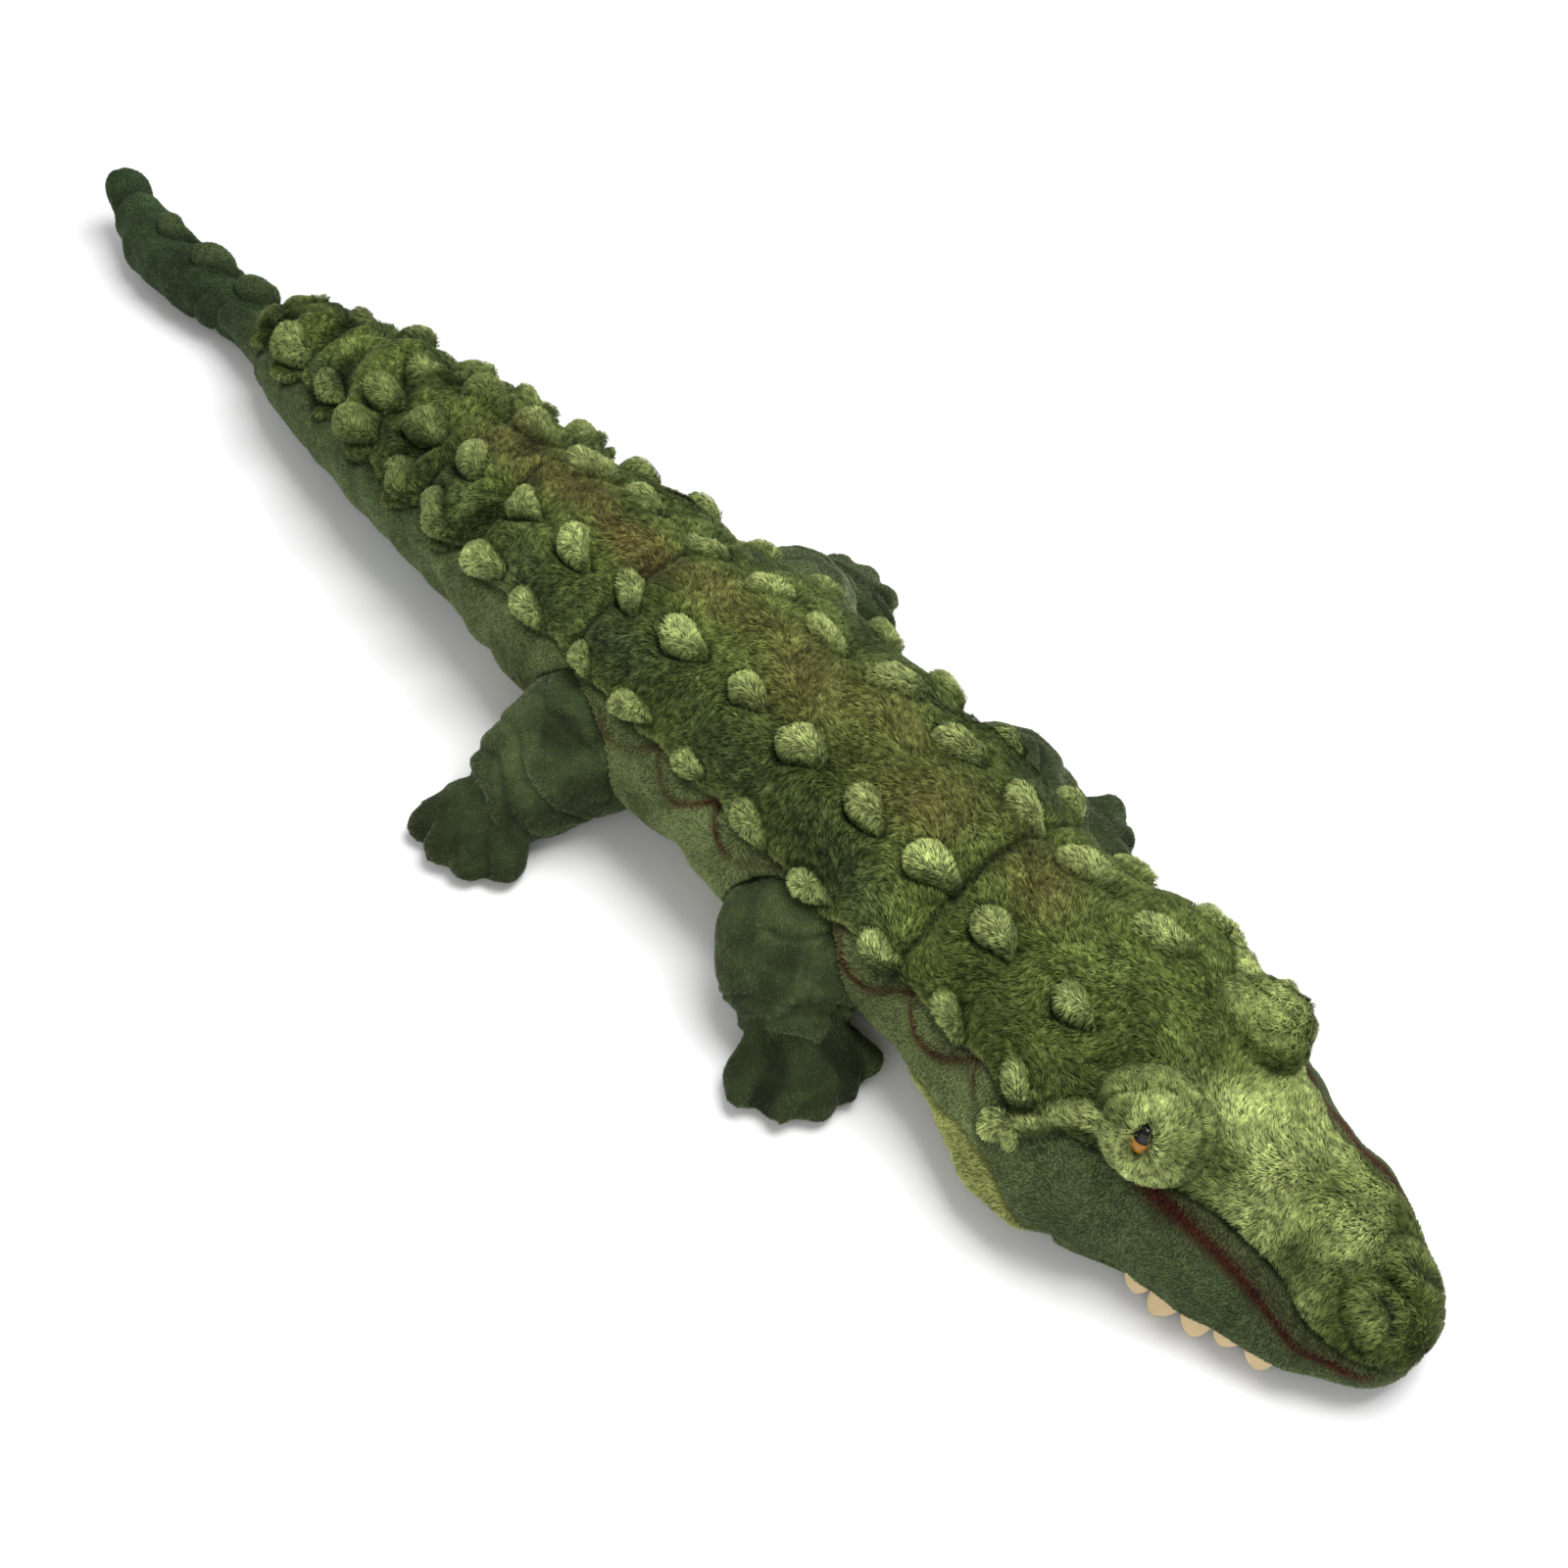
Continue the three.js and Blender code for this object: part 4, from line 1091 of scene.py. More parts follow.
def grow(name: str, shell: Shell, kind: Pile, where: Array, seed: int) -> bpy.types.Object:
    """Blades of pile over a shell, as one mesh.

    Roots are spread over the triangles in proportion to their area, thinner in creases. A blade leaves its
    root between the skin's normal and the pile's fall, bends over half way, and its tip is drawn to its
    lock's middle. Its four corners are its root, its two sides in the middle and its tip.

    Args:
        name: The object's name.
        shell: The skin.
        kind: The pile.
        where: How much of it grows at each vertex, from 0 to 1.
        seed: The seed of the roots and of the blades' strays.

    Returns:
        The blades' object.
    """
    rng = np.random.default_rng(seed)
    corners = shell.triangles()
    a, b, c = (shell.points[corners[:, k]] for k in range(3))
    open_ = where * shell.cover * (1 - 0.55 * shell.marks["crease"] ** 2)
    area = np.linalg.norm(np.cross(b - a, c - a), axis=1) / 2 * open_[corners].mean(1)
    count = int(area.sum() * kind.density)
    chosen = rng.choice(len(corners), count, p=area / area.sum())
    r = np.sqrt(rng.random(count))
    s = rng.random(count)
    share = np.stack([1 - r, r * (1 - s), r * s], -1)[..., None]

    def at_roots(values: Array) -> Array:
        """Values of the vertices read at the blades' roots."""
        return (values[corners[chosen]] * (share if values.ndim > 1 else share[..., 0])).sum(1)

    root = at_roots(shell.points)
    normal = unit(at_roots(shell.normals()))
    peak = at_roots(shell.marks["peak"])
    cell = np.floor(root / kind.clump)
    lock = scatter(cell)
    lean = unit(at_roots(shell.fall)) + rng.normal(0, kind.stray, (count, 3)) + lock * kind.flow
    lean = unit(lean - (lean * normal).sum(-1, keepdims=True) * normal)
    up = np.radians(np.clip(kind.lie + rng.normal(0, 7, count) + 9 * peak, 8, 75))[:, None]
    size = (kind.length * rng.uniform(0.7, 1.15, count))[:, None]
    first = normal * np.sin(up) + lean * np.cos(up)
    second = unit(normal * np.sin(up * 0.3) + lean * np.cos(up * 0.3))
    middle = root + first * size * 0.5
    tuft = (cell + 0.5 + lock * 0.8) * kind.clump - root + lean * kind.length * 0.6
    tuft -= (tuft * normal).sum(-1, keepdims=True) * normal
    tip = middle + second * size * 0.5 + tuft * kind.pull * 0.6
    tip[:, 2] = np.maximum(tip[:, 2], 0.3)
    middle[:, 2] = np.maximum(middle[:, 2], 0.25)
    side = unit(np.cross(first, normal)) + normal * rng.normal(0, 0.25, (count, 1))
    side *= kind.width / 2 * rng.uniform(0.75, 1.25, (count, 1))
    root = root - normal * 0.4
    points = np.stack([root, middle - side, middle + side, tip], 1)
    faces = (np.arange(count)[:, None, None] * 4 + np.array([[0, 2, 1], [1, 2, 3]])).reshape(-1, 3)
    marks = {m: np.repeat(at_roots(shell.marks[m]), 4) for m in MARKS}
    marks["tip"] = np.tile([0, 0.5, 0.5, 1.0], count)
    marks["tone"] = np.repeat(0.3 * rng.random(count) + 0.7 * (lock[:, 0] + 0.5), 4)
    shade = unit(normal + lean * 0.3 + rng.normal(0, 0.12, (count, 3)))
    piece = make_mesh(name, points.reshape(-1, 3), [faces], marks, np.repeat(shade, 4, axis=0))
    cells = math.ceil(math.sqrt(count))
    spot = np.stack([np.arange(count) % cells, np.arange(count) // cells], -1)[:, None, :]
    uv = (spot + np.array([(0.5, 0.15), (0.2, 0.5), (0.8, 0.5), (0.5, 0.85)])) / cells
    layer = piece.data.uv_layers.new(name="OFBake")
    layer.data.foreach_set("uv", uv.reshape(-1, 2)[faces.ravel()].astype(np.float32).ravel())
    return piece


class Knot:
    """A node tree that is being built, with short ways to add and join its nodes."""

    def __init__(self, tree: bpy.types.NodeTree) -> None:
        """Starts on a tree."""
        self.tree = tree

    def fill(self, node: bpy.types.Node, inputs: dict[str | int, object]) -> None:
        """Sets or joins a node's inputs.

        Args:
            node: The node.
            inputs: A value, or a socket to join, for each input by name or number.
        """
        for key, value in inputs.items():
            if isinstance(value, bpy.types.NodeSocket):
                self.tree.links.new(value, node.inputs[key])
            else:
                node.inputs[key].default_value = value

    def add(
        self, kind: str, inputs: dict[str | int, object] | None = None, **settings: object
    ) -> bpy.types.Node:
        """Adds a node.

        Args:
            kind: Its type, without the leading "ShaderNode".
            inputs: A value, or a socket to join, for each input by name or number.
            settings: The node's own settings.

        Returns:
            The node.
        """
        node = self.tree.nodes.new(f"ShaderNode{kind}")
        for key, value in settings.items():
            setattr(node, key, value)
        self.fill(node, inputs or {})
        return node

    def math(self, operation: str, *values: object) -> bpy.types.NodeSocket:
        """A Math node's result.

        Args:
            operation: Its operation.
            values: Its inputs, each a number or a socket.

        Returns:
            Its output.
        """
        return self.add("Math", dict(enumerate(values)), operation=operation).outputs[0]

    def mix(self, share: object, first: object, second: object, blend: str = "MIX") -> bpy.types.NodeSocket:
        """A mix of two colours.

        Args:
            share: How much of the second, a number or a socket.
            first: The first colour.
            second: The second colour.
            blend: The way of mixing.

        Returns:
            The mixed colour.
        """
        inputs = {0: share, 6: first, 7: second}
        return self.add("Mix", inputs, data_type="RGBA", blend_type=blend).outputs[2]

    def mark(self, name: str) -> bpy.types.NodeSocket:
        """A mark of the mesh, as a number."""
        return self.add("Attribute", attribute_name=name).outputs["Fac"]

    def place(self) -> bpy.types.NodeSocket:
        """The object's own places."""
        return self.add("TexCoord").outputs["Object"]

    def noise(self, place: object, scale: object, detail: float, **more: float) -> bpy.types.NodeSocket:
        """A Noise texture's value.

        Args:
            place: The places that it is read at.
            scale: Its scale, a number or a socket.
            detail: Its detail.
            more: Its other inputs by name.

        Returns:
            The value, about 0.5 in the mean.
        """
        inputs = {"Vector": place, "Scale": scale, "Detail": detail} | more
        return self.add("TexNoise", inputs).outputs["Fac"]

    def bump(self, shader: bpy.types.Node, strength: float, distance: float, height: object) -> None:
        """Bumps a shader's normals.

        Args:
            shader: The shader.
            strength: The bump's strength.
            distance: Its depth in metres.
            height: The socket of its heights.
        """
        bump = self.add("Bump", {"Strength": strength, "Distance": distance, "Height": height})
        self.fill(shader, {"Normal": bump.outputs[0]})


def new_group(
    name: str, inputs: dict[str, object], outputs: dict[str, str]
) -> tuple[Knot, bpy.types.Node, bpy.types.Node]:
    """A node group with named inputs and outputs.

    Args:
        name: Its name.
        inputs: The default of each input: a number makes a float, four numbers a colour.
        outputs: The socket type of each output.

    Returns:
        The group's tree for building, and its input and output nodes.
    """
    tree = bpy.data.node_groups.new(name, "ShaderNodeTree")
    for key, value in inputs.items():
        kind = "NodeSocketColor" if isinstance(value, tuple) else "NodeSocketFloat"
        tree.interface.new_socket(name=key, in_out="INPUT", socket_type=kind).default_value = value
    for key, kind in outputs.items():
        tree.interface.new_socket(name=key, in_out="OUTPUT", socket_type=kind)
    return Knot(tree), tree.nodes.new("NodeGroupInput"), tree.nodes.new("NodeGroupOutput")


def pile_group() -> bpy.types.NodeTree:
    """Dyed pile: its colour from the marks, with mottled dye and painted nap shade, painted shade at roots
    and creases, pale tips and streaks.

    Returns:
        The group.
    """
    knot, given, out = new_group(
        "Dyed Pile",
        {
            "Back": dye("4f6125"),
            "Side": dye("758452"),
            # Painted shade for a band of the back, and a deeper green for the tail's tip, its flanks and the
            # cheeks
            "Deep": dye("2e452c"),
            "Belly": dye("9aa25c"),
            "Pale": dye("c6d383"),
            "Saddle": dye("64562a"),
            "Airbrush": dye("481b12"),
            "Root": 0.4,
            "Mottle": 1.0,
            "Streak": 1.0,
            "Scale": 17.0,
        },
        {"Color": "NodeSocketColor", "Roughness": "NodeSocketFloat", "Height": "NodeSocketFloat"},
    )
    root, mottle, streak = (given.outputs[name] for name in ("Root", "Mottle", "Streak"))
    place = knot.place()
    broad = knot.noise(place, given.outputs["Scale"], 3.0)
    patch = knot.noise(place, 52.0, 3.0, Distortion=0.8)
    fine = knot.noise(place, 260.0, 2.0)
    nap = knot.noise(place, 620.0, 3.0)
    tip = knot.mark("tip")
    tone = knot.mark("tone")
    colour = knot.mix(knot.mark("back"), given.outputs["Side"], given.outputs["Back"])
    for name in ("Deep", "Belly", "Saddle", "Airbrush"):
        colour = knot.mix(knot.mark(name.lower()), colour, given.outputs[name])
    lighter = knot.math("MULTIPLY", knot.mark("peak"), knot.math("MULTIPLY_ADD", tip, 0.45, 0.5))
    sparse = knot.math("MULTIPLY", knot.math("MULTIPLY", tip, streak), knot.math("MULTIPLY", tone, 0.3))
    colour = knot.mix(knot.math("MAXIMUM", lighter, sparse), colour, given.outputs["Pale"])

    # The broad and patchy noises are uneven dye together with painted light and dark patches of the nap
    factors = [
        knot.math("MULTIPLY_ADD", knot.math("SUBTRACT", value, 0.5), weight, 1.0)
        for value, weight in (
            (broad, knot.math("MULTIPLY", mottle, 1.5)),
            (patch, knot.math("MULTIPLY", mottle, 1.5)),
            (fine, knot.math("MULTIPLY_ADD", streak, 1.5, 0.3)),
            (nap, knot.math("MULTIPLY", streak, 1.2)),
            (tone, knot.math("MULTIPLY_ADD", streak, 0.9, 0.1)),
        )
    ]
    # Painted shade at the fibres' roots, lifting a little past full light at the tips
    factors.append(knot.math("MULTIPLY_ADD", tip, knot.math("SUBTRACT", 1.08, root), root))
    # Painted shade in creases, seams and folds, and on the legs the claws' dark paint
    factors.append(knot.math("MULTIPLY_ADD", knot.mark("crease"), -0.78, 1.0))
    light = factors[0]
    for factor in factors[1:]:
        light = knot.math("MULTIPLY", light, factor)
    grey = knot.add("CombineColor", {0: light, 1: light, 2: light}).outputs[0]
    height = knot.math("ADD", knot.math("MULTIPLY", fine, 0.6), knot.math("MULTIPLY", nap, 0.4))
    dyed = knot.mix(1.0, colour, grey, "MULTIPLY")
    roughness = knot.math("MULTIPLY_ADD", fine, 0.2, 0.78)
    knot.fill(out, {"Color": dyed, "Roughness": roughness, "Height": height})
    return knot.tree


@dataclass(frozen=True)
class Plush:
    """A finish of pile fabric.

    Attributes:
        name: The material's name.
        side: The colour away from the back and belly.
        root: How light the painted shade leaves a fibre's root beside its tip.
        mottle: How uneven the dye is, together with the painted light and dark patches of the nap.
        streak: How much single fibres differ.
        sheen: The sheen's weight.
        bump: The bump's depth, in metres.
    """

    name: str
    side: str = "758452"
    root: float = 0.4
    mottle: float = 1.0
    streak: float = 1.0
    sheen: float = 0.06
    bump: float = 0.0008

    def make(self, group: bpy.types.NodeTree) -> bpy.types.Material:
        """The material.

        Args:
            group: The dyed pile's group.

        Returns:
            The material, with its group, bump and shader.
        """
        material, knot, shader = shaded(self.name)
        dyed = knot.add("Group", node_tree=group)
        given = {"Side": dye(self.side), "Root": self.root, "Mottle": self.mottle, "Streak": self.streak}
        knot.fill(dyed, given)
        if self.bump:
            knot.bump(shader, 0.6, self.bump, dyed.outputs["Height"])
        knot.fill(
            shader,
            {
                "Base Color": dyed.outputs["Color"],
                "Roughness": dyed.outputs["Roughness"],
                "Sheen Weight": self.sheen,
                "Sheen Roughness": 0.45,
                "Sheen Tint": dye("c9d6a8"),
                "Specular IOR Level": 0.12,
            },
        )
        return material


def shaded(name: str) -> tuple[bpy.types.Material, Knot, bpy.types.Node]:
    """A new material with nodes.

    Args:
        name: Its name.

    Returns:
        The material, its tree for building, and its Principled shader.
    """
    material = bpy.data.materials.new(name)
    material.use_nodes = True
    return material, Knot(material.node_tree), material.node_tree.nodes["Principled BSDF"]


@dataclass(frozen=True)
class Felt:
    """A finish of pressed felt.

    Attributes:
        name: The material's name.
        colour: Its colour.
        darker: The colour of its darker matted fibres, which two noises mix in.
    """

    name: str
    colour: str
    darker: str

    def make(self) -> bpy.types.Material:
        """The material: matted fibres from two noises, in colour and bump.

        Returns:
            The material.
        """
        material, knot, shader = shaded(self.name)
        place = knot.place()
        mat = knot.noise(place, 900.0, 6.0, Roughness=0.7, Distortion=2.5)
        broad = knot.noise(place, 90.0, 3.0)
        share = knot.math("MULTIPLY", mat, knot.math("MULTIPLY_ADD", broad, 0.9, 0.2))
        colour = knot.mix(share, dye(self.colour), dye(self.darker))
        knot.fill(shader, {"Base Color": colour, "Roughness": 0.92, "Sheen Weight": 0.2})
        knot.bump(shader, 0.7, 0.0006, mat)
        return material


def eye_material() -> bpy.types.Material:
    """Moulded eye plastic: an amber with streaks, a dark rim and a black pupil set high, under a clear coat.

    Returns:
        The material, which reads the marks "pupil" and "iris".
    """
    material, knot, shader = shaded("eye_plastic")
    streak = knot.noise(knot.place(), 700.0, 3.0)
    iris = knot.mix(streak, dye("cf9322"), dye("7d4c10"))
    colour = knot.mix(knot.mark("iris"), dye("1a0f06"), iris)
    colour = knot.mix(knot.mark("pupil"), colour, dye("050403"))
    knot.fill(
        shader,
        {
            "Base Color": colour,
            "Roughness": knot.math("MULTIPLY_ADD", streak, 0.08, 0.1),
            "Coat Weight": 0.25,
            "Coat Roughness": 0.05,
            "Specular IOR Level": 0.25,
        },
    )
    return material


def plastic_material() -> bpy.types.Material:
    """The washers' natural plastic: milky, with fine moulding grain.

    Returns:
        The material.
    """
    material, knot, shader = shaded("washer_plastic")
    grain = knot.noise(knot.place(), 1200.0, 4.0)
    colour = knot.mix(grain, dye("e9e9e2"), dye("d6d6cd"))
    knot.fill(shader, {"Base Color": colour, "Roughness": knot.math("MULTIPLY_ADD", grain, 0.2, 0.35)})
    knot.bump(shader, 0.3, 0.0001, grain)
    return material


@dataclass
class Wardrobe:
    """Every finish of the crocodile, made once."""

    fabric: bpy.types.Material = field(init=False)
    long_pile: bpy.types.Material = field(init=False)
    short_pile: bpy.types.Material = field(init=False)
    limb_fabric: bpy.types.Material = field(init=False)
    limb_pile: bpy.types.Material = field(init=False)
    tooth_felt: bpy.types.Material = field(init=False)
    mouth_felt: bpy.types.Material = field(init=False)
    eye: bpy.types.Material = field(init=False)
    plastic: bpy.types.Material = field(init=False)

    def __post_init__(self) -> None:
        """Makes the shared group and the materials."""
        group = pile_group()
        # The bare cover is darkened by its root share, as painted shade under the pile
        self.fabric = Plush("fabric", root=0.5, streak=0.5).make(group)
        self.long_pile = Plush("long_pile", root=0.24, bump=0).make(group)
        self.short_pile = Plush("short_pile", root=0.75, mottle=0.7, streak=0.2, bump=0).make(group)
        self.limb_fabric = Plush("limb_fabric", side="3c4a2c", root=0.8, mottle=1.2, streak=0.2).make(group)
        limb_pile = Plush("limb_pile", "44502f", root=0.7, mottle=1.3, streak=0.2, sheen=0.4, bump=0)
        self.limb_pile = limb_pile.make(group)
        self.tooth_felt = Felt("tooth_felt", "f0d9ac", "cfae78").make()
        self.mouth_felt = Felt("mouth_felt", "54201a", "2e0f0c").make()
        self.eye = eye_material()
        self.plastic = plastic_material()


class Side(Enum):
    """The animal's two sides, with the sign of y on each."""

    LEFT = 1
    RIGHT = -1

    @property
    def label(self) -> str:
        """The side's name as nodes and bodies have it."""
        return self.name.lower()


def dress(piece: bpy.types.Object, material: bpy.types.Material) -> bpy.types.Object:
    """Gives a piece its material.

    Args:
        piece: The piece.
        material: Its material.

    Returns:
        The piece.
    """
    piece.data.materials.clear()
    piece.data.materials.append(material)
    return piece


@dataclass
class Stretch:
    """A stretch of the body's skin, whose ends slip under its neighbours'.

    Attributes:
        name: Its name.
        start: Where it starts along x.
        end: Where it ends.
        bodies: The body that it is fixed to, or the two bodies of the joint that it crosses, where it is
            fixed to neither.
        bend: Where it would start and end bending, if it crosses a joint; not used.
        nodes: The CAD nodes that it stands for.
        step: How far its rings lie apart.
        around: How many points each ring has.
        tuck: How far it runs on under its neighbours.
    """

    name: str
    start: float
    end: float
    bodies: tuple[str, ...]
    bend: tuple[float, float]
    nodes: tuple[str, ...]
    step: float = 1.6
    around: int = 250
    tuck: float = 6.0

    def build(self, hide: Hide, wardrobe: Wardrobe, seed: int) -> None:
        """Builds the skin and its pile, dresses them and fixes them to their body, if they have only one.

        Args:
            hide: The body's skin.
            wardrobe: The finishes.
            seed: The seed of the pile.
        """
        shell = self._shell(hide)
        skin = dress(shell.make(f"{self.name}_cover"), wardrobe.fabric)
        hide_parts(*self.nodes)
        self._ride(skin)
        back, belly = shell.marks["back"], shell.marks["belly"]
        side = (1 - back) * (1 - belly)
        left = shell.points[:, 1] > 0
        for label, kind, where, material, slot in (
            ("back_left_pile", LONG_PILE, back * left, wardrobe.long_pile, "back_plush"),
            ("back_right_pile", LONG_PILE, back * ~left, wardrobe.long_pile, "back_plush"),
            ("side_pile", SHORT_PILE, side, wardrobe.short_pile, "flank_plush"),
            ("belly_pile", BELLY_PILE, belly, wardrobe.short_pile, "belly_plush"),
        ):
            if where.sum() < LEAST_COVER:
                continue
            blades = grow(f"{self.name}_{label}", shell, kind, where**3, seed)
            self._ride(dress(blades, material))
            log.info("%s_%s: %d faces", self.name, label, len(blades.data.polygons))
            seed += 1

    def _ride(self, piece: bpy.types.Object) -> None:
        """Fixes a piece to its body if there is one, and otherwise bakes its transform."""
        if len(self.bodies) == 1:
            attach(piece, self.bodies[0])
        else:
            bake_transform(piece)

    def _shell(self, hide: Hide) -> Shell:
        """The closed skin of the stretch, hollowed for the legs.

        Rings lie a step apart and closer towards a free end. Past its start and end the skin runs on for the
        tuck and sinks under its neighbour. The snout swells forwards a little, and the tail's end sways.

        Args:
            hide: The body's skin.

        Returns:
            The shell with its marks and fall.
        """
        low = self.start if self.start <= TAIL_END_X else self.start - self.tuck
        high = self.end if self.end >= SNOUT_X else self.end + self.tuck
        rings = int((high - low) / self.step)
        share = np.linspace(0, 1, rings + 1)
        quarter = np.linspace(0, math.pi / 2, 16)
        if self.end >= SNOUT_X:
            share = np.concatenate([share[:-8], 1 - (1 - share[-9]) * (1 - np.sin(quarter)[1:])])
        if self.start <= TAIL_END_X:
            share = np.concatenate([share[8] * (1 - np.cos(quarter))[:-1], share[8:]])
        places = low + (high - low) * share
        x, angle = np.meshgrid(places, full_turn(self.around, -math.pi), indexing="ij")
        lift, marks, fall = hide.work_out(x, angle)
        under = np.clip((self.start - x) / self.tuck, 0, 1) if self.start > TAIL_END_X else 0 * x
        over = np.clip((x - self.end) / self.tuck, 0, 1) if self.end < SNOUT_X else 0 * x
        lift = lift - 5.0 * (under + over)
        points = hide.form.place(x, angle, lift)
        points = self._mouth(hide.form, x, angle, points)
        points[..., 0] += 5 * ease(x, SNOUT_X - 26, SNOUT_X) + 5 * ease(x, TAIL_END_X + 42, TAIL_END_X)
        points[..., 1] += 6 * ease(x, TAIL_END_X + 45, TAIL_END_X) - 5 * bell(x - TAIL_END_X - 82, 52)
        points[..., 2] = np.maximum(points[..., 2], 0.4)
        for leg in LEGS:
            points = leg.hollow(points)
        tangent = np.gradient(points, axis=1)
        direction = fall[..., :1] * np.array([1.0, 0, 0]) + fall[..., 1:] * unit(tangent)
        shell = closed_loops(points, marks, direction)
        inside = np.ones(points.shape[:2])
        inside *= (x >= self.start) & (x <= self.end)
        inside *= ease(points[..., 2], 0.6, 2.5)
        inside *= ~((x > MOUTH_X + 3) & (np.abs(angle) > lip_angle(hide.form, x) + 0.02))
        shell.cover = np.concatenate([inside.ravel(), [0, 0]])
        return shell

    def _mouth(self, form: Form, x: Array, angle: Array, points: Array) -> Array:
        """Turns the head's underside in at the lips, up to the palate.

        Past the mouth's corner, a point beyond the lip's angle runs in from the lip: its y shrinks with the
        share of the way to the middle, and its z rises to the palate in the first fifth.

        Args:
            form: The body's form.
            x: Places along the body.
            angle: Angles from the top.
            points: The skin's places.

        Returns:
            The places with the mouth in them.
        """
        if self.end < MOUTH_X:
            return points
        lip = lip_angle(form, x)
        share = np.clip((np.abs(angle) - lip) / (math.pi - lip), 0, 1)
        edge = form.place(x, np.sign(angle) * lip, 0)
        inner = edge.copy()
        inner[..., 1] = edge[..., 1] * (1 - 0.08 * ease(share, 0, 0.1)) * (1 - share)
        inner[..., 2] = LIP_HEIGHT + (PALATE_HEIGHT + 0.4 - LIP_HEIGHT) * ease(share, 0.02, 0.16)
        inner[..., 2] = np.minimum(inner[..., 2], np.maximum(form.read(x)[3] - 4, 0))
        open_ = (ease(x, MOUTH_X - 3, MOUTH_X + 3) * (share > 0))[..., None]
        return points * (1 - open_) + inner * open_


def lip_angle(form: Form, x: Array) -> Array:
    """The angle from the top at which the head's side reaches the lip.

    Its cosine is (lip - waist) / (waist - underside).

    Args:
        form: The body's form.
        x: Places along the body.

    Returns:
        The angles.
    """
    _, _, waist, _, bottom, _, _ = form.read(x)
    return np.arccos(np.clip((LIP_HEIGHT - waist) / (waist - bottom), -1, 1))


# How long the legs' stuffing is simulated
STUFFING_FRAMES = 20


def evaluated(piece: bpy.types.Object) -> bpy.types.Object:
    """A piece as its modifiers leave it."""
    return piece.evaluated_get(bpy.context.evaluated_depsgraph_get())


@dataclass
class Leg:
    """A limb: a haunch that turns in the body and a foot with toes, as one skin.

    Attributes:
        end: Front or rear.
        side: The animal's side.
        hip: The middle of the haunch's ball.
        ankle: The middle of the ankle's ball.
        heading: The way the foot points, in degrees from +X towards its own side.
        toes: How many toes the foot has.
        radius: The haunch's.
        heel: The heel's radius.
        toe_reach: How far the toes reach from the ankle.
        toe_fan: The angle between two toes.
        voxel: The size of the remesh.
        pressure: The pressure of the stuffing in the cloth's simulation.
        swell: How far it may move the skin.
    """

    end: str
    side: Side
    hip: tuple[float, float, float]
    ankle: tuple[float, float, float]
    heading: float
    toes: int
    radius: float = 34.5
    heel: float = 14.0
    toe_reach: float = 44.0
    toe_fan: float = math.radians(26)
    voxel: float = 2.4
    pressure: float = 5.0
    swell: float = 4.0

    @property
    def label(self) -> str:
        """The limb's name as nodes and bodies have it."""
        return f"{self.end}_{self.side.label}"

    def centre(self) -> Array:
        """The hip's place on its own side."""
        return np.array(self.hip) * (1, self.side.value, 1)

    def foot(self) -> Array:
        """The ankle's place on its own side."""
        return np.array(self.ankle) * (1, self.side.value, 1)

    def _way(self) -> float:
        """The foot's heading on its own side, in radians."""
        return math.radians(self.heading) * self.side.value

    def hollow(self, points: Array) -> Array:
        """Moves skin that lies inside the haunch's ball to the ball's inner side.

        Such a point keeps x and z, and its y goes inwards to the ball: hip y minus the root of radius squared
        minus the squares of its steps in x and z.

        Args:
            points: The skin's places.

        Returns:
            The moved places.
        """
        room = self.radius + 0.8
        step = points - self.centre()
        flat = step[..., 0] ** 2 + step[..., 2] ** 2
        inside = (flat < room**2) & (np.linalg.norm(step, axis=-1) < room)
        inside &= points[..., 1] * self.side.value > 20
        moved = points.copy()
        inner = self.centre()[1] - self.side.value * np.sqrt(np.maximum(room**2 - flat, 0))
        moved[..., 1] = np.where(inside, inner, points[..., 1])
        return moved

    def build(self, wardrobe: Wardrobe, seed: int) -> None:
        """Builds the limb's skin and pile, dresses them and bakes their transforms.

        Args:
            wardrobe: The finishes.
            seed: The seed of the pile.
        """
        shell = self._finish(self._read(self._stuff(self._merge([self._haunch(), self._paw()]))))
        skin = dress(shell.make(f"leg_{self.label}_cover"), wardrobe.limb_fabric)
        layers = ("skin", "stuffing")
        nodes = [f"{part}_{self.label}_{layer}" for part in ("thigh", "foot") for layer in layers]
        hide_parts(*nodes)
        blades = grow(f"leg_{self.label}_pile", shell, SHORT_PILE, np.ones(len(shell.points)), seed)
        dress(blades, wardrobe.limb_pile)
        bodies = (f"thigh_{self.label}", f"foot_{self.label}")
        for piece in (skin, blades):
            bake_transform(piece)
        log.info("leg_%s: %d faces of pile", self.label, len(blades.data.polygons))

    def _haunch(self) -> Shell:
        """The haunch: rings round the line from hip to ankle, a ball at its root and tapered to the ankle.

        With t the share of the way, the radius is the ball's root (radius squared minus the step squared)
        behind the hip, and radius (1 - 0.04 t - 0.26 t squared) before the ankle.

        Returns:
            The shell.
        """
        hip, ankle = self.centre(), self.foot()
        way = ankle - hip
        length = np.linalg.norm(way)
        way = way / length
        across = unit(np.cross(way, (0, 0, 1.0)))
        up = np.cross(across, way)
        behind = -self.radius * np.cos(np.linspace(0.12, math.pi / 2, 14))
        before = np.linspace(0, length + 2, 22)[1:]
        t = before / length
        taper = self.radius * (1 - 0.04 * t - 0.26 * t**2)
        radii = np.concatenate([np.sqrt(self.radius**2 - behind**2), taper])
        along = np.concatenate([behind, before])
        turn = full_turn(56)
        ring = across * np.cos(turn)[:, None] + up * np.sin(turn)[:, None]
        grid = hip + along[:, None, None] * way + radii[:, None, None] * ring
        return closed_loops(grid)

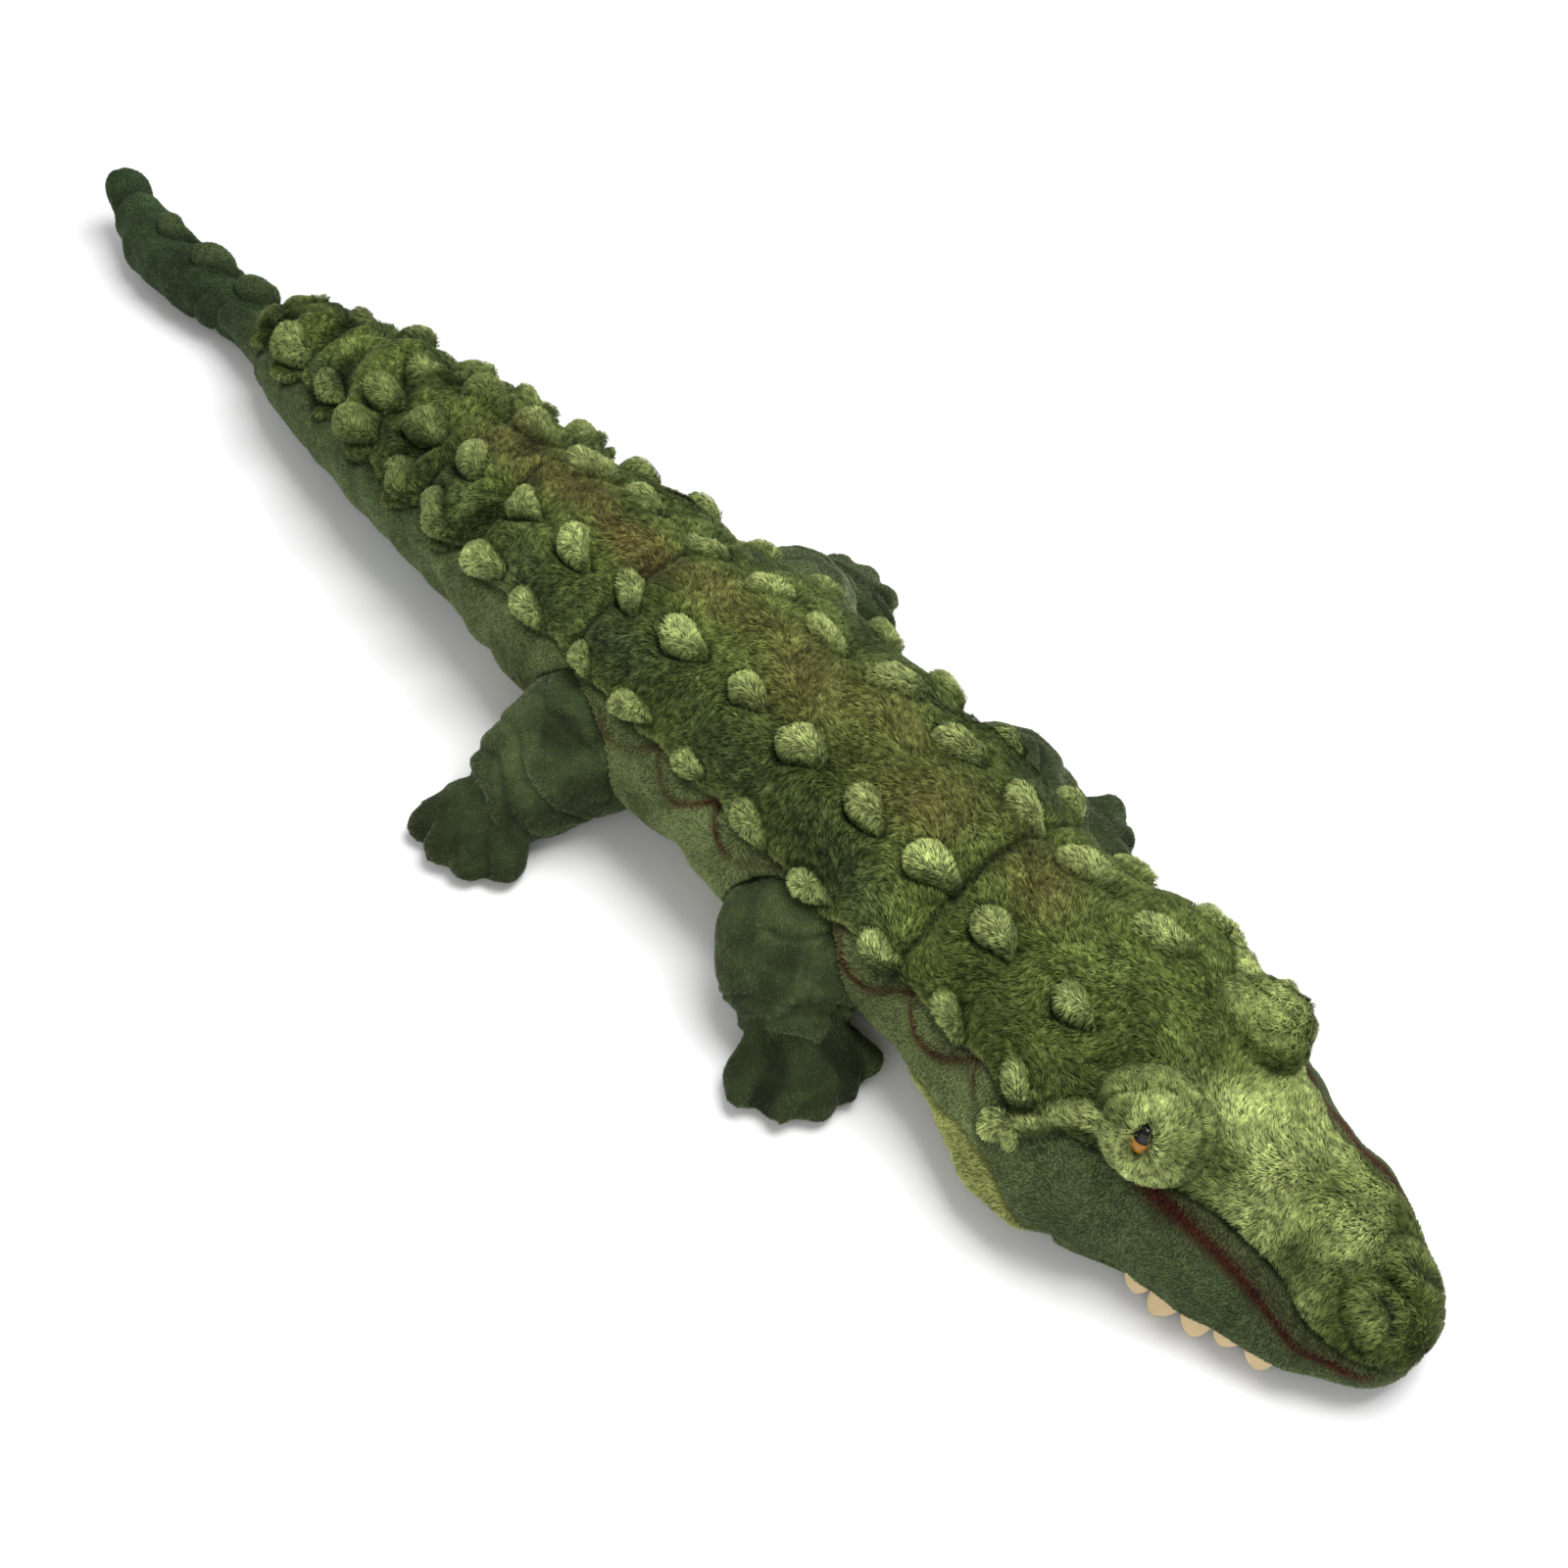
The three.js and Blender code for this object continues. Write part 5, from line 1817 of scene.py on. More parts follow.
    def _paw(self) -> Shell:
        """The foot: rings out from the ankle's top to its sole, each run out to the toes in front.

        In a direction at turn from the heading, the outline is the heel's ball behind, and in front the toe
        reach times 0.85 plus 0.16 of the toes' rounded lobes. The top falls from the ankle's height to the
        toes' thickness, with a groove between each two toes.

        Returns:
            The shell.
        """
        upper, sole = np.linspace(0.03, 1, 26), np.linspace(0.97, 0.05, 14)
        top = np.concatenate([np.ones(len(upper)), np.zeros(len(sole))])[:, None]
        share, turn = np.meshgrid(np.concatenate([upper, sole]), full_turn(150, -math.pi), indexing="ij")
        half_fan = self.toe_fan * (self.toes - 1) / 2
        front = ease(np.cos(turn), math.cos(half_fan + 0.95), math.cos(half_fan + 0.12))
        phase = turn / self.toe_fan + (self.toes - 1) / 2
        notch = np.abs(phase - np.round(phase)) * 2
        lobe = np.sqrt(np.clip(1 - notch**2.2, 0, 1))
        within = ease(np.abs(turn), half_fan + 0.36, half_fan + 0.1)
        groove = ease(notch, 0.4, 1.0) * ease(np.abs(turn), half_fan + 0.05, half_fan - 0.1)
        reach = self.toe_reach * (0.85 + 0.16 * lobe * within)
        outline = self.heel + (reach - self.heel) * front
        out = outline * np.where(top > 0, share, share * 0.94)
        thick = (2 * self.heel + 1) + (19.0 - 2 * self.heel) * front * ease(share, 0.15, 0.75)
        bulge = np.sqrt(np.clip(1 - share**3.8, 0, 1))
        height = thick * (0.36 + 0.64 * bulge) * (1 - 0.4 * groove * ease(share, 0.68, 0.92))
        floor = 0.5 + 3.2 * ease(share, 0.8, 1.0)
        z = np.where(top > 0, np.maximum(height, floor), floor)
        way = self._way() + self.side.value * turn
        ankle = self.foot()
        return closed_loops(np.stack([ankle[0] + out * np.cos(way), ankle[1] + out * np.sin(way), z], -1))

    def _merge(self, shells: list[Shell]) -> bpy.types.Object:
        """Joins shells into one skin: a voxel remesh of them together, smoothed.

        Args:
            shells: The shells.

        Returns:
            The merged skin's object, to be read and removed.
        """
        piece = make_mesh("merging", *joined(shells), {})
        remesh = piece.modifiers.new("merge", "REMESH")
        remesh.mode = "VOXEL"
        remesh.voxel_size = self.voxel * MM
        smooth = piece.modifiers.new("smooth", "SMOOTH")
        smooth.factor = 0.5
        smooth.iterations = 3
        return piece

    def _stuff(self, piece: bpy.types.Object) -> bpy.types.Object:
        """Swells the merged skin as its stuffing does, as cloth under pressure and without gravity.

        A point moves along with the cloth, but no further than the swell: its step times the least of 1 and
        swell over the step's length. One subdivision follows.

        Args:
            piece: The merged skin, with its remesh still a modifier; it is removed.

        Returns:
            The swollen skin's object, to be read and removed.
        """
        scene = bpy.context.scene
        mesh = bpy.data.meshes.new_from_object(evaluated(piece))
        bpy.data.objects.remove(piece)
        pad = put("stuffing", mesh)
        cloth = pad.modifiers.new("stuff", "CLOTH")
        cloth.settings.use_pressure = True
        cloth.settings.uniform_pressure_force = self.pressure
        cloth.settings.effector_weights.gravity = 0
        cloth.settings.bending_stiffness = 0.1
        cloth.point_cache.frame_end = STUFFING_FRAMES
        for frame in range(1, STUFFING_FRAMES + 1):
            scene.frame_set(frame)
        before = np.empty(len(mesh.vertices) * 3, np.float32)
        after = before.copy()
        mesh.vertices.foreach_get("co", before)
        evaluated(pad).data.vertices.foreach_get("co", after)
        step = (after - before).reshape(-1, 3)
        reach = np.linalg.norm(step, axis=1, keepdims=True)
        step *= np.minimum(1, self.swell * MM / np.maximum(reach, 1e-9))
        mesh.vertices.foreach_set("co", (before + step.ravel()).astype(np.float32))
        pad.modifiers.remove(cloth)
        scene.frame_set(1)
        log.info("leg_%s: stuffed, moved %.1f mm at most", self.label, reach.max() / MM)
        finer = pad.modifiers.new("finer", "SUBSURF")
        finer.levels = 1
        finer.render_levels = 1
        return pad

    def _read(self, piece: bpy.types.Object) -> Shell:
        """Reads a skin back from its modifiers.

        Args:
            piece: The skin, which is removed.

        Returns:
            The shell, without pile and with every mark at 0.
        """
        seen = evaluated(piece).to_mesh()
        points = np.empty(len(seen.vertices) * 3, np.float32)
        seen.vertices.foreach_get("co", points)
        points = points.reshape(-1, 3).astype(float) / MM
        corners = np.empty(len(seen.loops), np.int32)
        seen.loops.foreach_get("vertex_index", corners)
        evaluated(piece).to_mesh_clear()
        bpy.data.objects.remove(piece)
        zero = np.zeros(len(points))
        return Shell(points, [corners.reshape(-1, 4)], {m: zero.copy() for m in MARKS}, points * 0, zero + 1)

    def _finish(self, shell: Shell) -> Shell:
        """Sews and wrinkles a stuffed skin, paints shade in its seams and folds and over the foot, and
        darkens its claws.

        A fold runs round the ankle and a lesser one above it, a seam curves over the haunch, and loose folds
        run all over.

        Args:
            shell: The skin, which is changed.

        Returns:
            The same shell, with its marks and its pile's fall.
        """
        points, hip, ankle = shell.points, self.centre(), self.foot()
        height = points[:, 2]
        normal = shell.normals()
        way = unit(ankle - hip)
        along = (points - hip) @ way
        length = np.linalg.norm(ankle - hip)
        forward = np.array([math.cos(self._way()), math.sin(self._way()), 0])
        reach = (points - ankle) @ forward
        bent = along - length + 9 - 0.25 * np.abs((points - hip) @ np.cross(way, (0, 0, 1.0)))
        outer = ease(height, 8, 16)
        wander = 3 * ripples(points, 50, 21)
        lift = -ANKLE_FOLD.depth * bell(bent - wander, ANKLE_FOLD.width) * ease(reach, 30, 8) * outer
        lift -= 0.8 * bell(bent + 13 + 1.5 * wander, 3.2) * ease(height, 16, 26)
        seam = np.hypot(along - length * 0.1, 0.7 * (height - hip[2])) - self.radius * 0.62
        seam += 1.5 * ripples(points, 40, 25)
        lift -= HIP_SEAM.depth * bell(seam, HIP_SEAM.width) * (along > -6)
        folds = ease(ripples(points * (1, 1, 0.6), 30, 24), 0.35, 1.0)
        lift += ripples(points, 34, 22) * 1.3 + ripples(points, 17, 23) * 0.5 - 1.8 * folds
        high = ease(height, 1.5, 6)
        claw = ease(self._claws(points), 5.4, 3.4)
        seams = ANKLE_FOLD.dark * bell(bent - wander, ANKLE_FOLD.line) * outer
        seams = seams + HIP_SEAM.dark * bell(seam, HIP_SEAM.line) * (along > -6)
        seams = np.maximum(seams, 0.5 * folds * high)
        shell.points = points + normal * (lift * high)[:, None]
        shell.points[:, 2] = np.maximum(shell.points[:, 2], 0.4)
        # One mark holds painted shade in the seams and folds and over the foot past the ankle, and the claws'
        # dark paint
        shell.marks["crease"] = np.clip(seams + claw + 0.36 * ease(bent, -2, 16), 0, 1)
        shell.marks["airbrush"] = 0.5 * claw
        shell.fall = forward * 0.5 + way * 1.0 + np.array([0, 0, -0.35])
        shell.fall = np.broadcast_to(shell.fall, shell.points.shape).copy()
        shell.cover = ease(shell.points[:, 2], 0.6, 2.0)
        return shell

    def _claws(self, points: Array) -> Array:
        """The distance of each place from the nearest toe's end, 4 mm over the floor.

        Args:
            points: Places, three numbers each.

        Returns:
            One distance for each place.
        """
        nearest = np.full(len(points), np.inf)
        for n in range(self.toes):
            turn = self._way() + (n - (self.toes - 1) / 2) * self.toe_fan
            claw = self.foot() + np.array([math.cos(turn), math.sin(turn), 0]) * self.toe_reach
            nearest = np.minimum(nearest, np.linalg.norm(points - claw * (1, 1, 0) - (0, 0, 4), axis=1))
        return nearest


LEGS = tuple(
    Leg(end, side, hip, ankle, heading, toes)
    for end, hip, ankle, heading, toes in (
        ("front", (74.0, 62.0, 35.5), (95.0, 83.0, 14.3), 24.0, 5),
        ("rear", (-70.0, 60.0, 35.5), (-81.0, 100.0, 14.3), 76.0, 4),
    )
    for side in Side
)


@dataclass
class EyeMound:
    """A stuffed mound on the head with a lidded plastic eye.

    Attributes:
        side: The animal's side.
        middle: The mound's middle, on the animal's left.
        half: Its half sizes.
        look: The way the eye looks, on the animal's left.
        ball: The eye's radius.
        proud: How far the eye stands out of the mound.
    """

    side: Side
    middle: tuple[float, float, float]
    half: tuple[float, float, float]
    look: tuple[float, float, float] = (0.22, 0.8, 0.56)
    ball: float = 7.5
    proud: float = 1.0

    def _frame(self) -> tuple[Array, Array, Array, Array, Array]:
        """The mound's middle, the eye's middle, the look, and two ways across it.

        Returns:
            The five vectors, on this side.
        """
        flip = np.array([1, self.side.value, 1.0])
        look = unit(np.array(self.look)) * flip
        middle = np.array(self.middle) * flip
        reach = 1 / np.linalg.norm(look / np.array(self.half))
        eye = middle + look * (reach + self.proud - self.ball)
        across = unit(np.cross((0, 0, 1.0), look))
        return middle, eye, look, across, np.cross(look, across)

    def build(self, wardrobe: Wardrobe, seed: int) -> None:
        """Builds the mound with its pile, and the eye.

        Args:
            wardrobe: The finishes.
            seed: The seed of the pile.
        """
        name = self.side.label
        shell = self._mound()
        mound = dress(shell.make(f"mound_{name}_cover"), wardrobe.fabric)
        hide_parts(f"eye_mound_{name}")
        blades = grow(f"mound_{name}_pile", shell, MOUND_PILE, shell.marks["back"], seed)
        dress(blades, wardrobe.long_pile)
        eye = dress(self._eye(), wardrobe.eye)
        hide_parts(f"eye_{name}")
        washer = bpy.data.objects.get(f"eye_washer_{name}")
        if washer is not None:
            washer.data.materials.clear()
            washer.data.materials.append(wardrobe.plastic)
        for piece in (mound, blades, eye):
            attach(piece, "head")
        log.info("eye mound %s: %d faces of pile", name, len(blades.data.polygons))

    def _mound(self) -> Shell:
        """The mound: an ellipsoid in rings round the eye's look, drawn in to the eye at an almond slit.

        With polar angle p from the look and turn q round it, the direction is look cos p plus the ring sin p,
        and the radius is the ellipsoid's in that direction. Inside the lid the skin sinks to the eyeball.

        Returns:
            The shell.
        """
        middle, _, look, across, up = self._frame()
        polar = np.concatenate([np.linspace(0.04, 0.5, 16)[:-1], np.linspace(0.5, math.pi - 0.05, 50)])
        p, q = np.meshgrid(polar, full_turn(96), indexing="ij")
        ring = np.cos(q)[..., None] * across + np.sin(q)[..., None] * up
        way = look * np.cos(p)[..., None] + ring * np.sin(p)[..., None]
        reach = 1 / np.linalg.norm(way / np.array(self.half), axis=-1)
        slit = np.hypot(p * np.cos(q) / 0.15, p * np.sin(q) / 0.37)
        lift = 2.2 * bell(slit - 1.7, 0.55) - 5.0 * ease(slit, 1.05, 0.7)
        lift += 0.8 * ripples(way * 20, 18, 31)
        seam = np.abs(p - 1.0 - 0.12 * np.sin(q * 2)) * 20
        lift -= 1.6 * bell(seam, 1.8) * (np.sin(q) > -0.2)
        points = middle + way * (reach + lift)[..., None]
        points[..., 2] = np.maximum(points[..., 2], 48)
        zero = np.zeros(p.shape)
        lower = ease(np.sin(q), 0.1, -0.5) * ease(p, 1.25, 0.9)
        peak = np.clip(0.5 * ease(slit, 3.6, 1.2) + 0.95 * lower + 0.5 * ease(points[..., 2], 74, 94), 0, 1)
        # Painted shade in the lid's slit round the eye and along the mound's seam
        crease = np.maximum(0.95 * ease(slit, 1.1, 0.9), 0.45 * bell(seam, 1.4) * (np.sin(q) > -0.2))
        marks = {m: zero for m in MARKS} | {"back": ease(slit, 0.95, 1.1), "crease": crease, "peak": peak}
        fall = ring + np.array([-0.4, 0, 0])
        return closed_loops(points, marks, fall)

    def _eye(self) -> bpy.types.Object:
        """The eye: a ball in rings round its look, its iris and upright slit marked on it, on a short stem.

        Returns:
            The eye's object.
        """
        _, eye, look, across, up = self._frame()
        turn = full_turn(72)
        p, q = np.meshgrid(np.linspace(0.02, math.pi - 0.27, 70), turn, indexing="ij")
        ring = np.cos(q)[..., None] * across + np.sin(q)[..., None] * up
        ball = eye + self.ball * (look * np.cos(p)[..., None] + ring * np.sin(p)[..., None])
        stem = np.stack([eye - look * depth + ring[0] * 2.0 for depth in (self.ball + 2, self.ball + 6)])
        points = np.concatenate([ball, stem])
        p = np.concatenate([p, np.full((2, len(turn)), math.pi)])
        q = np.concatenate([q, q[:2]])
        slit = np.hypot(np.sin(p) * np.cos(q) / 0.6, (np.sin(p) * np.sin(q) - 0.42) / 0.55)
        pupil = ease(slit, 1.05, 0.95) * (np.cos(p) > 0)
        marks = {"pupil": pupil, "iris": ease(p, 0.98, 0.85)}
        return closed_loops(points, marks).make(f"eyeball_{self.side.label}")


# The left mound is stuffed a little slacker than the right
MOUNDS = (
    EyeMound(Side.LEFT, (241.0, 32.5, 75.0), (21.0, 17.5, 20.0)),
    EyeMound(Side.RIGHT, (242.0, 35.0, 76.0), (23.0, 20.0, 22.0)),
)


@dataclass
class EarFlap:
    """The padded flap at the back of each ridge on the head.

    Attributes:
        side: The animal's side.
        place: Its middle, on the animal's left.
        half: Its half sizes along the body, out, and up.
    """

    side: Side
    place: tuple[float, float, float]
    half: tuple[float, float, float] = (9.6, 3.6, 11.5)

    def build(self, wardrobe: Wardrobe, seed: int) -> None:
        """Builds the flap and its pile: a ball with those half sizes, drawn to a point below and behind.

        Args:
            wardrobe: The finishes.
            seed: The seed of the pile.
        """
        p, q = np.meshgrid(np.linspace(0.06, math.pi - 0.06, 30), full_turn(48), indexing="ij")
        way = np.stack([np.sin(p) * np.cos(q), np.sin(p) * np.sin(q), np.cos(p)], -1)
        below = ease(-way[..., 2], 0.0, 1.0)
        points = way * np.array(self.half)
        points[..., :2] *= (1 - 0.35 * below)[..., None]
        points[..., 0] -= 3.0 * below
        points = (points + np.array(self.place)) * (1, self.side.value, 1)
        inner = bell(np.hypot(way[..., 0], way[..., 2] + 0.1), 0.5) * (way[..., 1] > 0)
        points[..., 1] -= self.side.value * 3.5 * inner
        marks = {m: np.zeros(p.shape) for m in MARKS}
        # Painted shade in the flap's inner hollow, which is also less pale
        marks |= {"back": np.ones(p.shape), "peak": 1 - 0.5 * inner, "crease": 0.35 * inner}
        fall = np.broadcast_to(np.array([-0.6, 0.2 * self.side.value, -0.8]), points.shape)
        shell = closed_loops(points, marks, fall)
        name = self.side.label
        flap = dress(shell.make(f"ear_{name}_cover"), wardrobe.fabric)
        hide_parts(f"ear_flap_{name}")
        blades = grow(f"ear_{name}_pile", shell, LONG_PILE, np.ones(len(shell.points)), seed)
        dress(blades, wardrobe.long_pile)
        for piece in (flap, blades):
            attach(piece, "head")
        log.info("ear flap %s: %d faces of pile", name, len(blades.data.polygons))


# How far the jaw and its linings are rounded at their ends
END_ROUND = 5.0


@dataclass
class Mouth:
    """The lower jaw, the felt teeth and the felt that lines the mouth.

    Attributes:
        form: The body's form.
        corner_inset: How far the jaw stays inside the head's outline at the mouth's corner.
        front_inset: The same at the front.
        lining_inset: How far the linings stay inside the jaw's outline.
        first: Where the row of teeth starts.
        pitch: How far two teeth lie apart.
        sizes: The teeth's shares of full size, from the corner to the front.
        leans: How far the tip of each leans forwards.
    """

    form: Form
    corner_inset: float = 8.5
    front_inset: float = 3.5
    lining_inset: float = 9.3
    first: float = HINGE_X + 27
    pitch: float = 13.0
    sizes: tuple[float, ...] = (0.8, 1.3, 1.1, 0.75, 1.0)
    leans: tuple[float, ...] = (1.5, -1, 2, 0, 2.5)

    def half(self, x: Array) -> Array:
        """The jaw's half width: the head's, less an inset that eases from the corner's to the front's.

        Args:
            x: Places along the body.

        Returns:
            The half widths.
        """
        front = ease(x, SNOUT_X - 34, SNOUT_X - 7)
        return self.form.read(x)[1] - (self.corner_inset + (self.front_inset - self.corner_inset) * front)

    def slab(self, start: float, end: float, inset: float, low: float, high: float, power: float) -> Array:
        """Rings of a rounded slab that follows the jaw.

        At turn q, y is the half width times the signed power of sin q, and z the middle height plus half the
        thickness times that of cos q. Both close up towards the ends on a quarter ellipse.

        Args:
            start: Where it starts along x.
            end: Where it ends.
            inset: How far it stays inside the jaw's outline.
            low: Its underside.
            high: Its top.
            power: The roundness of its edges, from 0 for square to 1 for round.

        Returns:
            Rings by points by three numbers.
        """
        share = (1 - np.cos(np.linspace(0.05, math.pi - 0.05, 60))) / 2
        x = start + (end - start) * share

        def boxy(value: Array) -> Array:
            """The value's signed power."""
            return np.sign(value) * np.abs(value) ** power

        rounded = np.ones(len(x))
        for inwards in (x - start, end - x):
            rounded *= np.sqrt(np.clip(1 - np.clip(1 - inwards / END_ROUND, 0, 1) ** 2, 0.01, 1))
        wide = np.maximum(self.half(x) - inset, 2) * (0.85 + 0.15 * rounded)
        x, turn = np.meshgrid(x, full_turn(64), indexing="ij")
        y = wide[:, None] * boxy(np.sin(turn))
        z = (low + high) / 2 + (high - low) / 2 * boxy(np.cos(turn)) * rounded[:, None]
        return np.stack([x, y, z], -1)

    def build(self, wardrobe: Wardrobe, seed: int) -> None:
        """Builds the jaw with its pile, the linings and the teeth, each on its body.

        Args:
            wardrobe: The finishes.
            seed: The seed of the pile.
        """
        grid = self.slab(HINGE_X - 4.2, JAW_FRONT, inset=0, low=0.4, high=JAW_HEIGHT, power=0.62)
        zero = np.zeros(grid.shape[:2])
        marks = {m: zero for m in MARKS} | {"belly": ease(grid[..., 2], 3.5, 1.5)}
        fall = np.broadcast_to(np.array([-1.0, 0, -0.2]), grid.shape)
        shell = closed_loops(grid, marks, fall)
        height = shell.points[:, 2]
        shell.cover = ease(height, 0.9, 2.2) * ease(height, JAW_HEIGHT, JAW_HEIGHT - 1.5)
        jaw = dress(shell.make("jaw_cover"), wardrobe.fabric)
        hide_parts("jaw_skin", "jaw_stuffing")
        blades = grow("jaw_pile", shell, SHORT_PILE, np.ones(len(height)), seed)
        dress(blades, wardrobe.short_pile)
        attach(jaw, "lower_jaw")
        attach(blades, "lower_jaw")
        inset = self.lining_inset
        for name, low, body in (
            ("jaw_lining", JAW_HEIGHT + 0.3, "lower_jaw"),
            ("palate_lining", PALATE_HEIGHT - 1.6, "head"),
        ):
            felt = self.slab(HINGE_X + 4.7, JAW_FRONT - inset, inset, low, high=low + 1.4, power=0.5)
            piece = dress(closed_loops(felt).make(f"{name}_felt"), wardrobe.mouth_felt)
            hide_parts(name)
            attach(piece, body)
        for side in Side:
            for row, body in (("upper", "head"), ("lower", "lower_jaw")):
                piece = dress(self._teeth(side, row), wardrobe.tooth_felt)
                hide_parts(f"{row}_teeth_{side.label}")
                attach(piece, body)
        log.info("mouth: %d faces of pile on the jaw", len(blades.data.polygons))

    def _teeth(self, side: Side, row: str) -> bpy.types.Object:
        """A row of felt teeth on a strip: each a padded leaf that narrows to a round tip.

        With v from root to tip and turn q round the leaf, x is the tooth's middle plus half width times
        (1 - v squared) to the power 0.55 times cos q, and y adds the half thickness times sin q.

        Args:
            side: The animal's side.
            row: Upper or lower.

        Returns:
            The teeth's object.
        """
        upper = row == "upper"
        root = LIP_HEIGHT + 0.6 if upper else JAW_HEIGHT + 0.3
        length = 8.6 if upper else 5.6
        v, q = np.meshgrid(np.sin(np.linspace(0.0, math.pi / 2 - 0.04, 16)), full_turn(28), indexing="ij")
        narrow = (1 - v**2) ** 0.55
        shells = []
        for n, (big, lean) in enumerate(zip(self.sizes, self.leans)):
            middle = self.first + (n + 0.5) * self.pitch
            x = middle + 6.4 * big**0.3 * narrow * np.cos(q) + lean * v**2
            if upper:
                lip = lip_angle(self.form, x)
                out = self.form.read(x)[1] * np.sin(lip) - 2.0 + 4.5 * big * v
            else:
                out = self.half(x) - 8.0
            y = side.value * (out + 2.3 * narrow**0.6 * np.sin(q))
            z = root + (-1 if upper else 1) * length * min(big, 1.1) * v
            shells.append(closed_loops(np.stack([x, y, z], -1)))
        return make_mesh(f"{row}_teeth_{side.label}_felt", *joined(shells), {})


WHITE = (1.0, 1.0, 1.0, 1.0)


@dataclass
class Studio:
    """The pale floor, the soft lights and the camera at the photograph's angle.

    Attributes:
        camera: The camera's place in metres.
        look: The way it looks.
        roll: How far it is turned about its look, in degrees.
        lens: Its focal length for a 36 mm sensor.
        floor: The floor's radius in millimetres.
        fade: Where the floor starts and ends turning white to the camera, in metres from the middle.
    """

    camera: tuple[float, float, float] = (0.3939, -0.4306, 0.7364)
    look: tuple[float, float, float] = (-0.427, 0.4683, -0.7735)
    roll: float = 6.23
    lens: float = 45.8
    floor: float = 6000.0
    fade: tuple[float, float] = (0.55, 1.2)

    def build(self) -> None:
        """Builds the floor, the world, the lamps and the camera."""
        self._floor()
        self._world()
        self._lamp("key", (0.15, 0.42, 1.5), 1.0, 27)
        self._lamp("fill", (0.6, -1.3, 0.9), 1.4, 7)
        data = bpy.data.cameras.new("camera")
        data.lens = self.lens
        data.sensor_width = 36
        data.clip_start = 0.05
        camera = put("camera", data)
        camera.location = self.camera
        camera.rotation_mode = "QUATERNION"
        turned = Quaternion((0, 0, 1), math.radians(self.roll))
        camera.rotation_quaternion = Vector(self.look).to_track_quat("-Z", "Y") @ turned
        bpy.context.scene.camera = camera

    def _floor(self) -> None:
        """A round pale floor just under the object, with a faint mottle, that turns plain white far off."""
        turn = full_turn(96)
        ring = np.stack([np.cos(turn), np.sin(turn), 0 * turn], -1)
        floor = make_mesh("floor", ring * self.floor + (0, 0, -0.2), [np.arange(len(turn))[None]], {})
        material, knot, shader = shaded("floor_paper")
        place = knot.place()
        paper = knot.mix(knot.noise(place, 3.0, 2.0), (0.92, 0.92, 0.92, 1), (0.95, 0.95, 0.95, 1))
        knot.fill(shader, {"Base Color": paper, "Roughness": 0.9, "Specular IOR Level": 0.1})
        distance = knot.add("VectorMath", {0: place}, operation="LENGTH").outputs["Value"]
        near, far = self.fade
        reach = {0: distance, 1: near, 2: far, 3: 0.0, 4: 1.0}
        faded = knot.add("MapRange", reach, interpolation_type="SMOOTHSTEP").outputs[0]
        white = knot.add("Emission", {"Color": WHITE, "Strength": 1.0}).outputs[0]
        share = knot.math("MULTIPLY", faded, knot.add("LightPath").outputs["Is Camera Ray"])
        mixed = knot.add("MixShader", {0: share, 1: shader.outputs[0], 2: white}).outputs[0]
        knot.fill(material.node_tree.nodes["Material Output"], {"Surface": mixed})
        floor.data.materials.append(material)

    def _world(self) -> None:
        """White to the camera, and an even soft light on everything else."""
        world = bpy.data.worlds.new("studio")
        world.use_nodes = True
        bpy.context.scene.world = world
        knot = Knot(world.node_tree)
        soft = world.node_tree.nodes["Background"]
        knot.fill(soft, {"Color": WHITE, "Strength": 0.46})
        seen = knot.add("Background", {"Color": WHITE, "Strength": 1.0}).outputs[0]
        straight = knot.add("LightPath").outputs["Is Camera Ray"]
        mixed = knot.add("MixShader", {0: straight, 1: soft.outputs[0], 2: seen}).outputs[0]
        knot.fill(world.node_tree.nodes["World Output"], {"Surface": mixed})

    def _lamp(self, name: str, place: tuple[float, float, float], size: float, power: float) -> None:
        """A square soft lamp that faces the object.

        Args:
            name: Its name.
            place: Where it hangs, in metres.
            size: Its side, in metres.
            power: Its power in watts.
        """
        data = bpy.data.lights.new(name, "AREA")
        data.size = size
        data.energy = power
        lamp = put(name, data)
        lamp.location = place
        lamp.rotation_mode = "QUATERNION"
        lamp.rotation_quaternion = (-Vector(place)).to_track_quat("-Z", "Y")


